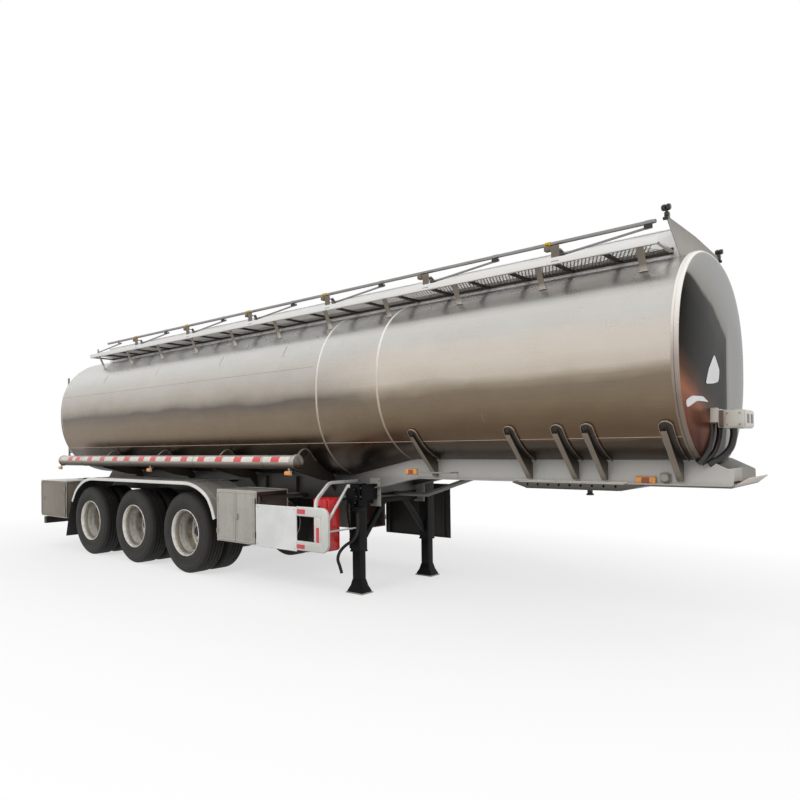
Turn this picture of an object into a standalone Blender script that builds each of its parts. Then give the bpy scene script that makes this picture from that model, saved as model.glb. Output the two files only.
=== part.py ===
# Aluminium tank semi-trailer on three axles, parked on its landing legs.
# Metres, +Z up, +X forward, +Y to the trailer's left. Stations along the trailer
# are measured from the middle axle; the whole model hangs under one empty that
# puts the middle of the overall length at X = 0 and the ground at Z = 0.

import math

import bmesh
import bpy
from mathutils import Matrix, Vector

# Seating gap between pieces that touch
SEAT = 0.0003

# Tidying of united solids: points closer than this are one, faces flatter than this are one
WELD_DISTANCE = 0.000005
FLAT_ANGLE = 0.0005

# Tank
TANK_HALF_WIDTH = 1.06
TANK_TOP = 3.287
REAR_BARREL_BOTTOM = 1.276
FRONT_BARREL_BOTTOM = 1.470
SECTION_POWER = 2.28
SECTION_POINTS = 36
TANK_REAR = -2.66
CONE_REAR = 3.66
CONE_FRONT = 4.55
TANK_FRONT = 7.435
WELD_RISE = 0.006
WELD_HALF = 0.022
FRONT_RING_RISE = 0.014
FRONT_RING_LENGTH = 0.045
FRONT_DISH_DEPTH = 0.07
REAR_DISH_DEPTH = 0.30

# Manholes
MANHOLE_STATIONS = (6.0, 2.9, -0.6)
MANHOLE_RADIUS = 0.27
MANHOLE_WALL = 0.03
MANHOLE_TOP = 3.365
MANHOLE_FLOOR = 3.30
LID_THICKNESS = 0.035
LID_OVERHANG = 0.015
LID_HINGE_REACH = 0.35
LID_PIN_RADIUS = 0.008

# Chassis beams
BEAM_Y = 0.42
WEB = 0.010
FLANGE = 0.014
FLANGE_WIDTH = 0.14
BEAM_BOTTOM = 1.02
NECK_BOTTOM = 1.31
NECK_TOP = 1.528
BEAM_BITE = 0.065
NECK_SLOPE_REAR = 4.57
NECK_SLOPE_FRONT = 5.40
BEAM_FRONT = 7.71
BEAM_FRONT_TOP = 1.431
BEAM_NOSE = 7.517
TAIL_TOP = 1.16
TAIL_STEP = -2.25
BEAM_REAR = -3.06
CROSS_PLATE = 0.010
GUSSET_STATIONS = (4.876, 5.978, 6.44, 6.708, 7.341)
GUSSET_PLATE = 0.008
GUSSET_TIP_Y = TANK_HALF_WIDTH - 0.19
GUSSET_FOOT = 0.14
GUSSET_CHANNEL = 0.09
GUSSET_LIP = 0.022
GUSSET_HOOK = 0.028
GUSSET_STRIP = 0.006
# Keeps the straight lengths of the strip off the curved flank
GUSSET_CLEAR = 0.0035
GUSSET_STEPS = 5
CROSS_STATIONS = (-3.045, -1.96, -0.65, 0.65, 1.96, 3.3, 3.935, 5.45, 5.98, 6.70, 7.60)
CONDUIT_RADIUS = 0.03
CONDUIT_RISE = 0.08
RESERVOIR = (1.90, 3.36, 0.10)
ARM_LOW = BEAM_BOTTOM + 0.03
ARM_HIGH = BEAM_BOTTOM + 0.07
STAY_STATIONS = (-1.07, 0.40, 1.87, 3.34)

# Coupling
COUPLER_HALF_WIDTH = 0.50
COUPLER_PLATE = 0.010
COUPLER_DROP = 0.048
COUPLER_REAR = 5.80
COUPLER_FRONT = 7.05
KICK_TIP = 7.81
KICK_TIP_HALF_WIDTH = 0.37
KICK_RISE = 0.073
KINGPIN_STATION = 6.37
KINGPIN_LENGTH = 0.084

# Side hose tubes
HOSE_TUBE_Y = TANK_HALF_WIDTH + 0.09
HOSE_TUBE_Z = 1.50
HOSE_TUBE_RADIUS = 0.083
HOSE_TUBE_REAR = -2.42
HOSE_TUBE_FRONT = 3.40
HOSE_CAP = 0.05

# Axles and wheels
AXLE_PITCH = 1.31
TYRE_RADIUS = 0.542
TYRE_WIDTH = 0.300
TWIN_PITCH = 0.340
OUTER_FACE_Y = 1.240
TWIN_Y = OUTER_FACE_Y - TYRE_WIDTH / 2 - TWIN_PITCH / 2
BEAD_RADIUS = 0.2985
RIM_BORE = 0.262
RIM_HALF = 0.125
WHEEL_STEPS = 16
SPINDLE_RADIUS = 0.045
# The bore's flats clear the spindle's corners by this much at any turn
HUB_CLEARANCE = 0.0003
HUB_BORE = (SPINDLE_RADIUS + HUB_CLEARANCE) / math.cos(math.pi / WHEEL_STEPS)
AXLE_TUBE_RADIUS = 0.0635
SPRING_Y = 0.47
SPRING_WIDTH = 0.09
SPRING_HALF = 0.57
SPRING_END_Z = 0.75
SPRING_LOW_Z = 0.665
SPRING_LEAF = 0.045
HANGER_CLEAR = 0.006
HANGER_PLATE = 0.010

# Fenders
FENDER_SHEET = 0.004
FENDER_TOP = 1.233
FENDER_INNER_Y = 0.62
FENDER_OUTER_Y = 1.25
FENDER_LIP = 0.03
FLAP_SHEET = 0.006

# Toolboxes
BOX_DEPTH = 0.51
BOX_WALL = 0.004
BOX_LIP = 0.03
DOOR_THICKNESS = 0.018
DOOR_OUTER_Y = 1.2453
DOOR_GAP = 0.006
HINGE_RADIUS = 0.006
FRONT_BOX = (2.03, 2.79, 0.51, 1.15)
REAR_BOX = (-3.10, -2.16, 0.53, 1.14)

# Side guards
GUARD_OUTER_Y = 1.243
GUARD_SHEET = 0.012
GUARD_FRAME_DEPTH = 0.04
SIGN_PANEL = (2.805, 3.50, 0.50, 1.00)
END_FRAME = (3.50, 4.00, 0.515, 1.007)
GUARD_WINDOW = (3.505, 3.78, 0.61, 0.90)
LEFT_PANEL = (2.805, 3.93, 0.41, 1.15)
EXTINGUISHER = (3.59, 3.83, 0.50, 1.10)
EXTINGUISHER_FACE_Y = 1.12
EXTINGUISHER_DEPTH = 0.25

# Landing gear
LEG_STATION = 3.935
LEG_Y = 0.67
LEG_HALF = 0.07
LEG_INNER_HALF = 0.055
LEG_TUBE_BOTTOM = 0.47
LEG_TOP = 1.24
LEG_RIB_X = 0.085
FOOT_LENGTH = 0.25
FOOT_WIDTH = 0.20
FOOT_PLATE = 0.014

# Walkways, coaming and handrail
COAMING_Y = 0.42
COAMING_TOP = 3.48
COAMING_SHEET = 0.004
COAMING_REAR = -2.15
WING_STATION = 7.356
WING_Y = 0.82
WING_TOP = 3.47
WALK_OUTER_Y = 0.85
WALK_REAR = -2.15
WALK_TAPER = 0.55
WALK_FRONT = 7.29
WALK_FLOOR = 3.285
TOE_TOP = 3.385
TOE_BOTTOM = WALK_FLOOR - 0.03
POST_FIRST = 7.13
POST_PITCH = 0.897
POST_FOOT = 2.92
POST_COUNT = 10
RAIL_Y = 0.80
RAIL_Z = 3.455
RAIL_RADIUS = 0.017
RAIL_FRONT = 7.27
RAIL_REAR = -1.50
STANCHION_FIRST = 6.43
STANCHION_PITCH = 1.393
STANCHION_COUNT = 7
STANCHION_RUN = 0.78
STANCHION_BASE_Z = 3.400
STANCHION_JOINT_Z = 3.425
STANCHION_Y = 0.767
STANCHION_HALF = 0.008
STANCHION_HEIGHT = 0.025
RAIL_PIN_RADIUS = 0.006
PIN_CLEARANCE = 0.0008
BORE_SIDES = 12

# Overall ends
REAR_END = -3.12
ORIGIN_STATION = (REAR_END + KICK_TIP) / 2

LAMP_BOARD_Y = 0.69
LADDER_STATION = -3.02
LADDER_RAILS = (-0.42, -0.76)
LADDER_TOP = 3.0
LADDER_ARMS = (1.75, 2.85)
LADDER_RUNGS = 6
LADDER_FOOT_RISE = 0.14
LADDER_RUNG_PITCH = 0.29

SIDES = (("right", -1), ("left", 1))


def clear_scene():
    for obj in list(bpy.data.objects):
        bpy.data.objects.remove(obj, do_unlink=True)


def new_collection(name):
    group = bpy.data.collections.new(name)
    bpy.context.scene.collection.children.link(group)
    return group


clear_scene()
PARTS = new_collection("tank_trailer")
SHAPING = new_collection("shaping_solids")
ROOT = bpy.data.objects.new("trailer_root", None)
ROOT.location = (-ORIGIN_STATION, 0, 0)
PARTS.objects.link(ROOT)


def skin(name, colour, roughness, metallic=0.0):
    material = bpy.data.materials.new(name)
    material.use_nodes = True
    shader = material.node_tree.nodes["Principled BSDF"]
    shader.inputs["Base Color"].default_value = (*colour, 1)
    shader.inputs["Roughness"].default_value = roughness
    shader.inputs["Metallic"].default_value = metallic
    return material


BRUSHED = skin("brushed_aluminium", (0.60, 0.58, 0.54), 0.32, 1.0)
BRIGHT = skin("bright_aluminium", (0.75, 0.75, 0.73), 0.40, 1.0)
FRAME_GREY = skin("frame_grey", (0.50, 0.50, 0.47), 0.5)
BOX_GREY = skin("box_grey", (0.43, 0.43, 0.38), 0.45)
BLACK_STEEL = skin("black_steel", (0.02, 0.02, 0.02), 0.5)
RUBBER = skin("rubber", (0.03, 0.028, 0.027), 0.85)
SILVER = skin("wheel_silver", (0.62, 0.62, 0.60), 0.35, 0.6)
RED_PLASTIC = skin("red_plastic", (0.62, 0.03, 0.03), 0.35)
OFF_WHITE = skin("off_white", (0.75, 0.74, 0.68), 0.4)


# Shaping tools

def evaluated_mesh(obj):
    bpy.context.view_layer.update()
    graph = bpy.context.evaluated_depsgraph_get()
    return bpy.data.meshes.new_from_object(obj.evaluated_get(graph))


def shaping_object(mesh, matrix=None):
    obj = bpy.data.objects.new("shape", mesh)
    SHAPING.objects.link(obj)
    obj.hide_render = True
    obj.display_type = "WIRE"
    if matrix is not None:
        mesh.transform(matrix)
    return obj


def from_bmesh(bm, matrix=None):
    bmesh.ops.recalc_face_normals(bm, faces=bm.faces[:])
    mesh = bpy.data.meshes.new("shape")
    bm.to_mesh(mesh)
    bm.free()
    return shaping_object(mesh, matrix)


def block(x, y, z):
    """Box between the two values of each of x, y and z."""
    bm = bmesh.new()
    bmesh.ops.create_cube(bm, size=1)
    low = Vector((min(x), min(y), min(z)))
    high = Vector((max(x), max(y), max(z)))
    for vert in bm.verts:
        vert.co = Vector(low[i] + (vert.co[i] + 0.5) * (high[i] - low[i]) for i in range(3))
    return from_bmesh(bm)


PLANES = {
    "XZ": Matrix(((1, 0, 0), (0, 0, -1), (0, 1, 0))).to_4x4(),
    "YZ": Matrix(((0, 0, 1), (1, 0, 0), (0, 1, 0))).to_4x4(),
    "XY": Matrix.Identity(4),
}


def plate(outline, span, plane="XZ"):
    """Flat outline in one plane, from span[0] to span[1] along the third axis."""
    curve = bpy.data.curves.new("outline", "CURVE")
    curve.dimensions = "2D"
    curve.fill_mode = "BOTH"
    curve.extrude = abs(span[1] - span[0]) / 2
    spline = curve.splines.new("POLY")
    spline.points.add(len(outline) - 1)
    for point, (u, v) in zip(spline.points, outline):
        point.co = (u, v, 0, 1)
    spline.use_cyclic_u = True
    holder = bpy.data.objects.new("outline", curve)
    SHAPING.objects.link(holder)
    mesh = evaluated_mesh(holder)
    bpy.data.objects.remove(holder, do_unlink=True)
    bm = bmesh.new()
    bm.from_mesh(mesh)
    bmesh.ops.remove_doubles(bm, verts=bm.verts[:], dist=0.00001)
    middle = (span[0] + span[1]) / 2
    third = {"XZ": (0, middle, 0), "YZ": (middle, 0, 0), "XY": (0, 0, middle)}[plane]
    return from_bmesh(bm, Matrix.Translation(third) @ PLANES[plane])


def rod(start, end, radius, sides=12):
    """Round bar between two points."""
    start, end = Vector(start), Vector(end)
    axis = end - start
    bm = bmesh.new()
    bmesh.ops.create_cone(bm, cap_ends=True, segments=sides, radius1=radius, radius2=radius,
                          depth=axis.length)
    turn = axis.to_track_quat("Z", "Y").to_matrix().to_4x4()
    return from_bmesh(bm, Matrix.Translation((start + end) / 2) @ turn)


def pipe(points, radius, resolution=2):
    """Bent bar along points, made from a bevelled curve and then a mesh."""
    curve = bpy.data.curves.new("pipe", "CURVE")
    curve.dimensions = "3D"
    curve.bevel_depth = radius
    curve.bevel_resolution = resolution
    curve.use_fill_caps = True
    spline = curve.splines.new("POLY")
    spline.points.add(len(points) - 1)
    for point, co in zip(spline.points, points):
        point.co = (*co, 1)
    holder = bpy.data.objects.new("pipe", curve)
    SHAPING.objects.link(holder)
    mesh = evaluated_mesh(holder)
    bpy.data.objects.remove(holder, do_unlink=True)
    bm = bmesh.new()
    bm.from_mesh(mesh)
    bmesh.ops.remove_doubles(bm, verts=bm.verts[:], dist=0.00001)
    return from_bmesh(bm)


def band(path, thickness):
    """Outline of a strip of even thickness whose middle line is the path."""
    points = [Vector(p) for p in path]
    left, right = [], []
    for i, point in enumerate(points):
        before = (point - points[i - 1]).normalized() if i else None
        after = (points[i + 1] - point).normalized() if i < len(points) - 1 else None
        if before is None or after is None:
            way = before or after
            stretch = 1
        else:
            way = (before + after).normalized()
            stretch = 1 / max(0.3, way.dot(after))
        side = Vector((-way.y, way.x)) * thickness / 2 * stretch
        left.append(tuple(point + side))
        right.append(tuple(point - side))
    return left + right[::-1]


def loft(rings):
    """Solid through rings of equal point counts, closed by a face at each end."""
    count = len(rings[0])
    verts = [tuple(p) for ring in rings for p in ring]
    faces = [tuple(range(count))[::-1]]
    for r in range(len(rings) - 1):
        for i in range(count):
            j = (i + 1) % count
            faces.append((r * count + i, r * count + j, (r + 1) * count + j))
            faces.append((r * count + i, (r + 1) * count + j, (r + 1) * count + i))
    faces.append(tuple(range((len(rings) - 1) * count, len(rings) * count)))
    mesh = bpy.data.meshes.new("loft")
    mesh.from_pydata(verts, [], faces)
    bm = bmesh.new()
    bm.from_mesh(mesh)
    return from_bmesh(bm)


def turned(profile, steps=WHEEL_STEPS):
    """Closed profile of (radius, height) points turned about Z by a Screw modifier."""
    mesh = bpy.data.meshes.new("profile")
    count = len(profile)
    mesh.from_pydata([(r, 0, h) for r, h in profile], [(i, (i + 1) % count) for i in range(count)], [])
    obj = shaping_object(mesh)
    screw = obj.modifiers.new("turn", "SCREW")
    screw.steps = steps
    screw.render_steps = steps
    screw.use_merge_vertices = True
    screw.merge_threshold = 0.00001
    screw.use_smooth_shade = False
    solid = evaluated_mesh(obj)
    bpy.data.objects.remove(obj, do_unlink=True)
    bm = bmesh.new()
    bm.from_mesh(solid)
    bmesh.ops.remove_doubles(bm, verts=bm.verts[:], dist=0.00001)
    on_axis = [edge for edge in bm.edges if not edge.link_faces]
    bmesh.ops.delete(bm, geom=on_axis, context="EDGES")
    return from_bmesh(bm)


def combine(pieces, cutters=()):
    """One solid: the pieces united, less the cutters."""
    base = pieces[0]
    if len(pieces) > 1:
        others = new_collection("joined")
        for piece in pieces[1:]:
            others.objects.link(piece)
        union = base.modifiers.new("joined", "BOOLEAN")
        union.operation = "UNION"
        union.solver = "EXACT"
        union.operand_type = "COLLECTION"
        union.collection = others
    for cutter in cutters:
        cut = base.modifiers.new("cut", "BOOLEAN")
        cut.operation = "DIFFERENCE"
        cut.solver = "EXACT"
        cut.object = cutter
    mesh = evaluated_mesh(base)
    for piece in pieces:
        bpy.data.objects.remove(piece, do_unlink=True)
    if len(pieces) > 1:
        bpy.data.collections.remove(others)
    bm = bmesh.new()
    bm.from_mesh(mesh)
    bmesh.ops.remove_doubles(bm, verts=bm.verts[:], dist=WELD_DISTANCE)
    bmesh.ops.dissolve_degenerate(bm, edges=bm.edges[:], dist=WELD_DISTANCE)
    bmesh.ops.dissolve_limit(bm, angle_limit=FLAT_ANGLE, verts=bm.verts[:], edges=bm.edges[:])
    return from_bmesh(bm)


def finish(name, solid, material, origin=(0, 0, 0), rotation=None):
    """Name a finished solid, put its origin on its joint axis and hang it under the root."""
    mesh = solid.data
    mesh.name = name
    mesh.transform(Matrix.Translation(-Vector(origin)))
    mesh.materials.clear()
    mesh.materials.append(material)
    mesh.shade_smooth()
    mesh.set_sharp_from_angle(angle=math.radians(35))
    SHAPING.objects.unlink(solid)
    PARTS.objects.link(solid)
    solid.name = name
    solid.hide_render = False
    solid.display_type = "TEXTURED"
    solid.parent = ROOT
    solid.location = origin
    if rotation is not None:
        solid.rotation_euler = rotation
    return solid


def build(name, pieces, material, cutters=(), origin=(0, 0, 0)):
    return finish(name, combine(pieces, cutters), material, origin)


def mirrored(points, side):
    """Outline in the YZ plane carried to one side of the trailer."""
    return [(side * y, z) for y, z in points]


def sided(values, side):
    return tuple(side * v for v in values)


# Tank shape

def barrel_bottom(station):
    """Height of the tank's lowest line, rising through the cone."""
    share = min(1.0, max(0.0, (station - CONE_REAR) / (CONE_FRONT - CONE_REAR)))
    return REAR_BARREL_BOTTOM + share * (FRONT_BARREL_BOTTOM - REAR_BARREL_BOTTOM)


def tank_ring(station, grow=0.0, scale=1.0):
    """Superellipse section of the tank at a station."""
    bottom = barrel_bottom(station)
    middle = (TANK_TOP + bottom) / 2
    half_height = ((TANK_TOP - bottom) / 2 + grow) * scale
    half_width = (TANK_HALF_WIDTH + grow) * scale
    ring = []
    for i in range(SECTION_POINTS):
        angle = 2 * math.pi * i / SECTION_POINTS
        c, s = math.cos(angle), math.sin(angle)
        ring.append((station,
                     half_width * math.copysign(abs(c) ** (2 / SECTION_POWER), c),
                     middle + half_height * math.copysign(abs(s) ** (2 / SECTION_POWER), s)))
    return ring


def tank_side_z(station, y, grow=0.0, upper=False):
    """Height of the tank's lower or upper surface at a distance y from the middle."""
    bottom = barrel_bottom(station)
    middle = (TANK_TOP + bottom) / 2
    half_height = (TANK_TOP - bottom) / 2 + grow
    share = (1 - (abs(y) / (TANK_HALF_WIDTH + grow)) ** SECTION_POWER) ** (1 / SECTION_POWER)
    return middle + half_height * share * (1 if upper else -1)


DISH_ANGLES = (0, 22, 44, 62, 77)


def dish_rows(start, depth, grow):
    """Rings of a dished end: knuckle at the rim, flatter crown. Depth may point either way."""
    rows = []
    for degrees in DISH_ANGLES:
        angle = math.radians(degrees)
        scale = math.cos(angle) ** 0.7
        station = start + depth * math.sin(angle) ** 0.9
        ring = tank_ring(start, grow, scale)
        rows.append([(station, y, z) for _, y, z in ring])
    return rows


def barrel_rows(grow):
    rows = [tank_ring(TANK_REAR, grow)]
    for seam in (CONE_REAR, CONE_FRONT):
        rows.append(tank_ring(seam - 1.3 * WELD_HALF, grow))
        rows.append(tank_ring(seam - WELD_HALF, grow + WELD_RISE))
        rows.append(tank_ring(seam + WELD_HALF, grow + WELD_RISE))
        rows.append(tank_ring(seam + 1.3 * WELD_HALF, grow))
    rows.append(tank_ring(TANK_FRONT, grow))
    return rows


def front_head_rows(grow):
    ring_front = TANK_FRONT + FRONT_RING_LENGTH
    rows = [tank_ring(TANK_FRONT + SEAT, grow + FRONT_RING_RISE),
            tank_ring(ring_front, grow + FRONT_RING_RISE)]
    return rows + dish_rows(ring_front + 0.004, FRONT_DISH_DEPTH + grow, grow)


def rear_head_rows(grow):
    return dish_rows(TANK_REAR - SEAT, -(REAR_DISH_DEPTH + grow), grow)


def tank_cutter():
    """The whole tank, larger by the seating gap."""
    head = front_head_rows(SEAT)
    head[0] = [(TANK_FRONT - SEAT, y, z) for _, y, z in head[0]]
    barrel = barrel_rows(SEAT)[:-1] + [tank_ring(TANK_FRONT - 2 * SEAT, SEAT)]
    return loft(rear_head_rows(SEAT)[::-1] + barrel[1:] + head)


TANK_CUT = tank_cutter()


def build_tank():
    pieces = [loft(barrel_rows(0))]
    recesses = []
    for station in MANHOLE_STATIONS:
        pieces.append(rod((station, 0, MANHOLE_FLOOR - 0.15), (station, 0, MANHOLE_TOP),
                          MANHOLE_RADIUS + MANHOLE_WALL, 20))
        hinge = station - LID_HINGE_REACH
        for y in ((0.045, 0.057), (-0.057, -0.045)):
            pieces.append(block((hinge - 0.02, station - MANHOLE_RADIUS), y,
                                (MANHOLE_FLOOR - 0.05, MANHOLE_TOP - 0.006)))
            pieces.append(block((hinge - 0.02, hinge + 0.02), y, (MANHOLE_TOP - 0.03, MANHOLE_TOP + 0.035)))
        pieces.append(rod((hinge, -0.05, MANHOLE_TOP + 0.018), (hinge, 0.05, MANHOLE_TOP + 0.018),
                          LID_PIN_RADIUS, 8))
        recesses.append(rod((station, 0, MANHOLE_FLOOR), (station, 0, MANHOLE_TOP + 0.05),
                            MANHOLE_RADIUS, 20))
    build("tank_barrel", pieces, BRUSHED, recesses)
    build("tank_front_head", [loft(front_head_rows(0))], BRUSHED)
    build("tank_rear_head", [loft(rear_head_rows(0))], BRUSHED)


def build_manhole_lids():
    for number, station in enumerate(MANHOLE_STATIONS, 1):
        hinge = station - LID_HINGE_REACH
        low = MANHOLE_TOP + SEAT
        radius = MANHOLE_RADIUS + MANHOLE_WALL + LID_OVERHANG
        disc = rod((station, 0, low), (station, 0, low + LID_THICKNESS), radius, 20)
        arm = block((hinge - 0.018, station - 0.2), (-0.035, 0.035), (low + 0.002, low + 0.034))
        bore = rod((hinge, -0.1, MANHOLE_TOP + 0.018), (hinge, 0.1, MANHOLE_TOP + 0.018),
                   LID_PIN_RADIUS + PIN_CLEARANCE, BORE_SIDES)
        grip = block((station + 0.174, station + 0.186), (-0.08, 0.08), (low + 0.062, low + 0.072))
        legs = [block((station + 0.174, station + 0.186), (y - 0.006, y + 0.006), (low + 0.02, low + 0.068))
                for y in (-0.074, 0.074)]
        build("manhole_lid_%d" % number, [disc, arm, grip] + legs, BRIGHT, [bore],
              (hinge, 0, MANHOLE_TOP + 0.018))


# Chassis

def beam_outline():
    return [(BEAM_REAR, BEAM_BOTTOM), (NECK_SLOPE_REAR, BEAM_BOTTOM), (NECK_SLOPE_FRONT, NECK_BOTTOM),
            (BEAM_FRONT, NECK_BOTTOM), (BEAM_FRONT, BEAM_FRONT_TOP), (BEAM_NOSE, NECK_TOP),
            (CONE_FRONT, NECK_TOP), (CONE_REAR, REAR_BARREL_BOTTOM + BEAM_BITE),
            (TAIL_STEP + 0.2, REAR_BARREL_BOTTOM + BEAM_BITE), (TAIL_STEP, TAIL_TOP), (BEAM_REAR, TAIL_TOP)]


def flange_outline():
    under = [(BEAM_REAR, BEAM_BOTTOM), (NECK_SLOPE_REAR, BEAM_BOTTOM), (NECK_SLOPE_FRONT, NECK_BOTTOM),
             (BEAM_FRONT, NECK_BOTTOM)]
    return under + [(x, z + FLANGE) for x, z in under[::-1]]


def hooked_path(station):
    """Line along the tank's flank that ends in a curl turned away from the tank."""
    base = BEAM_Y + WEB / 2 + 0.028
    path = []
    for i in range(GUSSET_STEPS):
        y = base + (GUSSET_TIP_Y - base) * i / (GUSSET_STEPS - 1)
        path.append(Vector((y, tank_side_z(station, y) - SEAT - GUSSET_STRIP / 2 - GUSSET_CLEAR)))
    along = (path[-1] - path[-2]).normalized()
    away = Vector((along.y, -along.x))
    centre = path[-1] + away * GUSSET_HOOK
    for degrees in (45, 90, 135, 180):
        angle = math.radians(degrees)
        path.append(centre + GUSSET_HOOK * (along * math.sin(angle) - away * math.cos(angle)))
    return path


def gusset(station, side):
    """Fin, lipped channel and curled tip that carry the tank's flank on the neck."""
    path = hooked_path(station)
    half = GUSSET_CHANNEL / 2
    pieces = [plate(mirrored(band(path, GUSSET_STRIP), side), (station - half, station + half), "YZ")]
    flank = path[:GUSSET_STEPS]
    for x in (station - half + SEAT, station + half - GUSSET_STRIP - SEAT):
        lip = [p + Vector((0.5, -1)).normalized() * GUSSET_LIP for p in flank]
        pieces.append(plate(mirrored([tuple(p) for p in flank + lip[::-1]], side), (x, x + GUSSET_STRIP), "YZ"))
    base = BEAM_Y + WEB / 2 - 0.002
    top = path[GUSSET_STEPS]
    outline = [(base + GUSSET_FOOT, NECK_BOTTOM + 0.03), (base, NECK_BOTTOM + 0.03), (base, NECK_TOP - 0.02)]
    outline += [(p.x, p.y) for p in flank]
    outline += [(top.x + GUSSET_HOOK, top.y), (GUSSET_TIP_Y + GUSSET_HOOK, flank[-1].y - 0.05)]
    pieces.append(plate(mirrored(outline, side), (station - GUSSET_PLATE / 2, station + GUSSET_PLATE / 2), "YZ"))
    return pieces


def stay(station, side):
    """Outrigger that carries the hose tube on the chassis beam."""
    base = BEAM_Y + WEB / 2 - 0.002
    outline = [(base, BEAM_BOTTOM + 0.10), (base, BEAM_BOTTOM + 0.28)]
    for y in (BEAM_Y + 0.18, BEAM_Y + 0.38, HOSE_TUBE_Y - 0.20):
        outline.append((y, tank_side_z(station, y) + 0.01))
    outline += [(HOSE_TUBE_Y - 0.15, HOSE_TUBE_Z + 0.13), (HOSE_TUBE_Y - 0.12, HOSE_TUBE_Z + 0.11),
                (HOSE_TUBE_Y - 0.06, HOSE_TUBE_Z), (HOSE_TUBE_Y - 0.02, HOSE_TUBE_Z - 0.06),
                (HOSE_TUBE_Y, HOSE_TUBE_Z - 0.10), (BEAM_Y + 0.28, HOSE_TUBE_Z - 0.22),
                (BEAM_Y + 0.14, HOSE_TUBE_Z - 0.235)]
    return plate(mirrored(outline, side), (station - GUSSET_PLATE / 2, station + GUSSET_PLATE / 2), "YZ")


def spring_pad_z():
    rise = math.atan2(SPRING_END_Z - SPRING_LOW_Z - 0.02, SPRING_HALF / 2)
    return SPRING_END_Z + SPRING_LEAF / 2 * math.cos(rise) + SEAT


def hanger(station, side):
    """Box of two cheeks and a pad that the spring ends bear on."""
    outer = SPRING_WIDTH / 2 + HANGER_CLEAR + HANGER_PLATE
    inner = SPRING_WIDTH / 2 + HANGER_CLEAR
    cheek = [(station - 0.12, BEAM_BOTTOM + 0.006), (station + 0.12, BEAM_BOTTOM + 0.006),
             (station + 0.10, 0.70), (station + 0.06, 0.66), (station - 0.06, 0.66), (station - 0.10, 0.70)]
    pieces = []
    for a, b in ((inner, outer), (-outer, -inner)):
        pieces.append(plate(cheek, sided((SPRING_Y + a, SPRING_Y + b), side)))
    pad = spring_pad_z()
    pieces.append(block((station - 0.10, station + 0.10), sided((SPRING_Y - outer + 0.002,
                        SPRING_Y + outer - 0.002), side), (pad, pad + 0.03)))
    pieces.append(block((station - 0.13, station + 0.13), sided((SPRING_Y - outer - 0.01,
                        SPRING_Y + outer + 0.01), side), (BEAM_BOTTOM - 0.006, BEAM_BOTTOM + 0.008)))
    return pieces


def build_main_beams():
    for word, side in SIDES:
        pieces = [plate(beam_outline(), sided((BEAM_Y - WEB / 2, BEAM_Y + WEB / 2), side)),
                  plate(flange_outline(), sided((BEAM_Y - FLANGE_WIDTH / 2, BEAM_Y + FLANGE_WIDTH / 2), side))]
        for station in GUSSET_STATIONS:
            pieces += gusset(station, side)
        for station in STAY_STATIONS:
            pieces.append(stay(station, side))
        for i in range(4):
            pieces += hanger((i - 1.5) * AXLE_PITCH, side)
        tube = hose_tube_solid(side, SEAT)
        build("main_beam_" + word, pieces, FRAME_GREY, [TANK_CUT, tube])
        bpy.data.objects.remove(tube, do_unlink=True)


def build_crossmembers():
    """Plates between the beams, strung on a conduit that steps up with the neck."""
    inner = BEAM_Y - WEB / 2 - SEAT
    low_run, high_run = BEAM_BOTTOM + CONDUIT_RISE, NECK_BOTTOM + CONDUIT_RISE
    pieces = [pipe([(CROSS_STATIONS[0], 0, low_run), (NECK_SLOPE_REAR - 0.15, 0, low_run),
                    (NECK_SLOPE_FRONT - 0.10, 0, high_run), (CROSS_STATIONS[-1], 0, high_run)],
                   CONDUIT_RADIUS, 1)]
    for station in CROSS_STATIONS:
        low, high = BEAM_BOTTOM, REAR_BARREL_BOTTOM - 0.01
        if station < TAIL_STEP:
            high = TAIL_TOP - 0.02
        if station > NECK_SLOPE_REAR:
            low, high = NECK_BOTTOM, FRONT_BARREL_BOTTOM - 0.03
        low += FLANGE + SEAT
        pieces.append(block((station - CROSS_PLATE / 2, station + CROSS_PLATE / 2), (-inner, inner), (low, high)))
    rear, front, radius = RESERVOIR
    pieces.append(rod((rear, 0, BEAM_BOTTOM + 0.11), (front, 0, BEAM_BOTTOM + 0.11), radius, 12))
    board = (BEAM_BOTTOM + 0.01, TAIL_TOP - 0.01)
    pieces.append(block((BEAM_REAR - 0.02, BEAM_REAR - SEAT), (-LAMP_BOARD_Y, LAMP_BOARD_Y), board))
    pieces.append(block((BEAM_REAR - 0.01, CROSS_STATIONS[0]), (-0.30, 0.30), (board[0] + 0.03, board[1] - 0.03)))
    build("crossmembers", pieces, FRAME_GREY, [TANK_CUT])


def kingpin(base):
    """Flanged pin under the coupler plate, with the neck that the jaw closes on."""
    profile = [(0, base + 0.002), (0.080, base + 0.002), (0.080, base - 0.012), (0.0365, base - 0.016),
               (0.0365, base - 0.032), (0.0254, base - 0.036), (0.0254, base - 0.066),
               (0.0357, base - 0.070), (0.0357, base - KINGPIN_LENGTH), (0, base - KINGPIN_LENGTH)]
    pin = turned(profile, 16)
    pin.data.transform(Matrix.Translation((KINGPIN_STATION, 0, 0)))
    return pin


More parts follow.
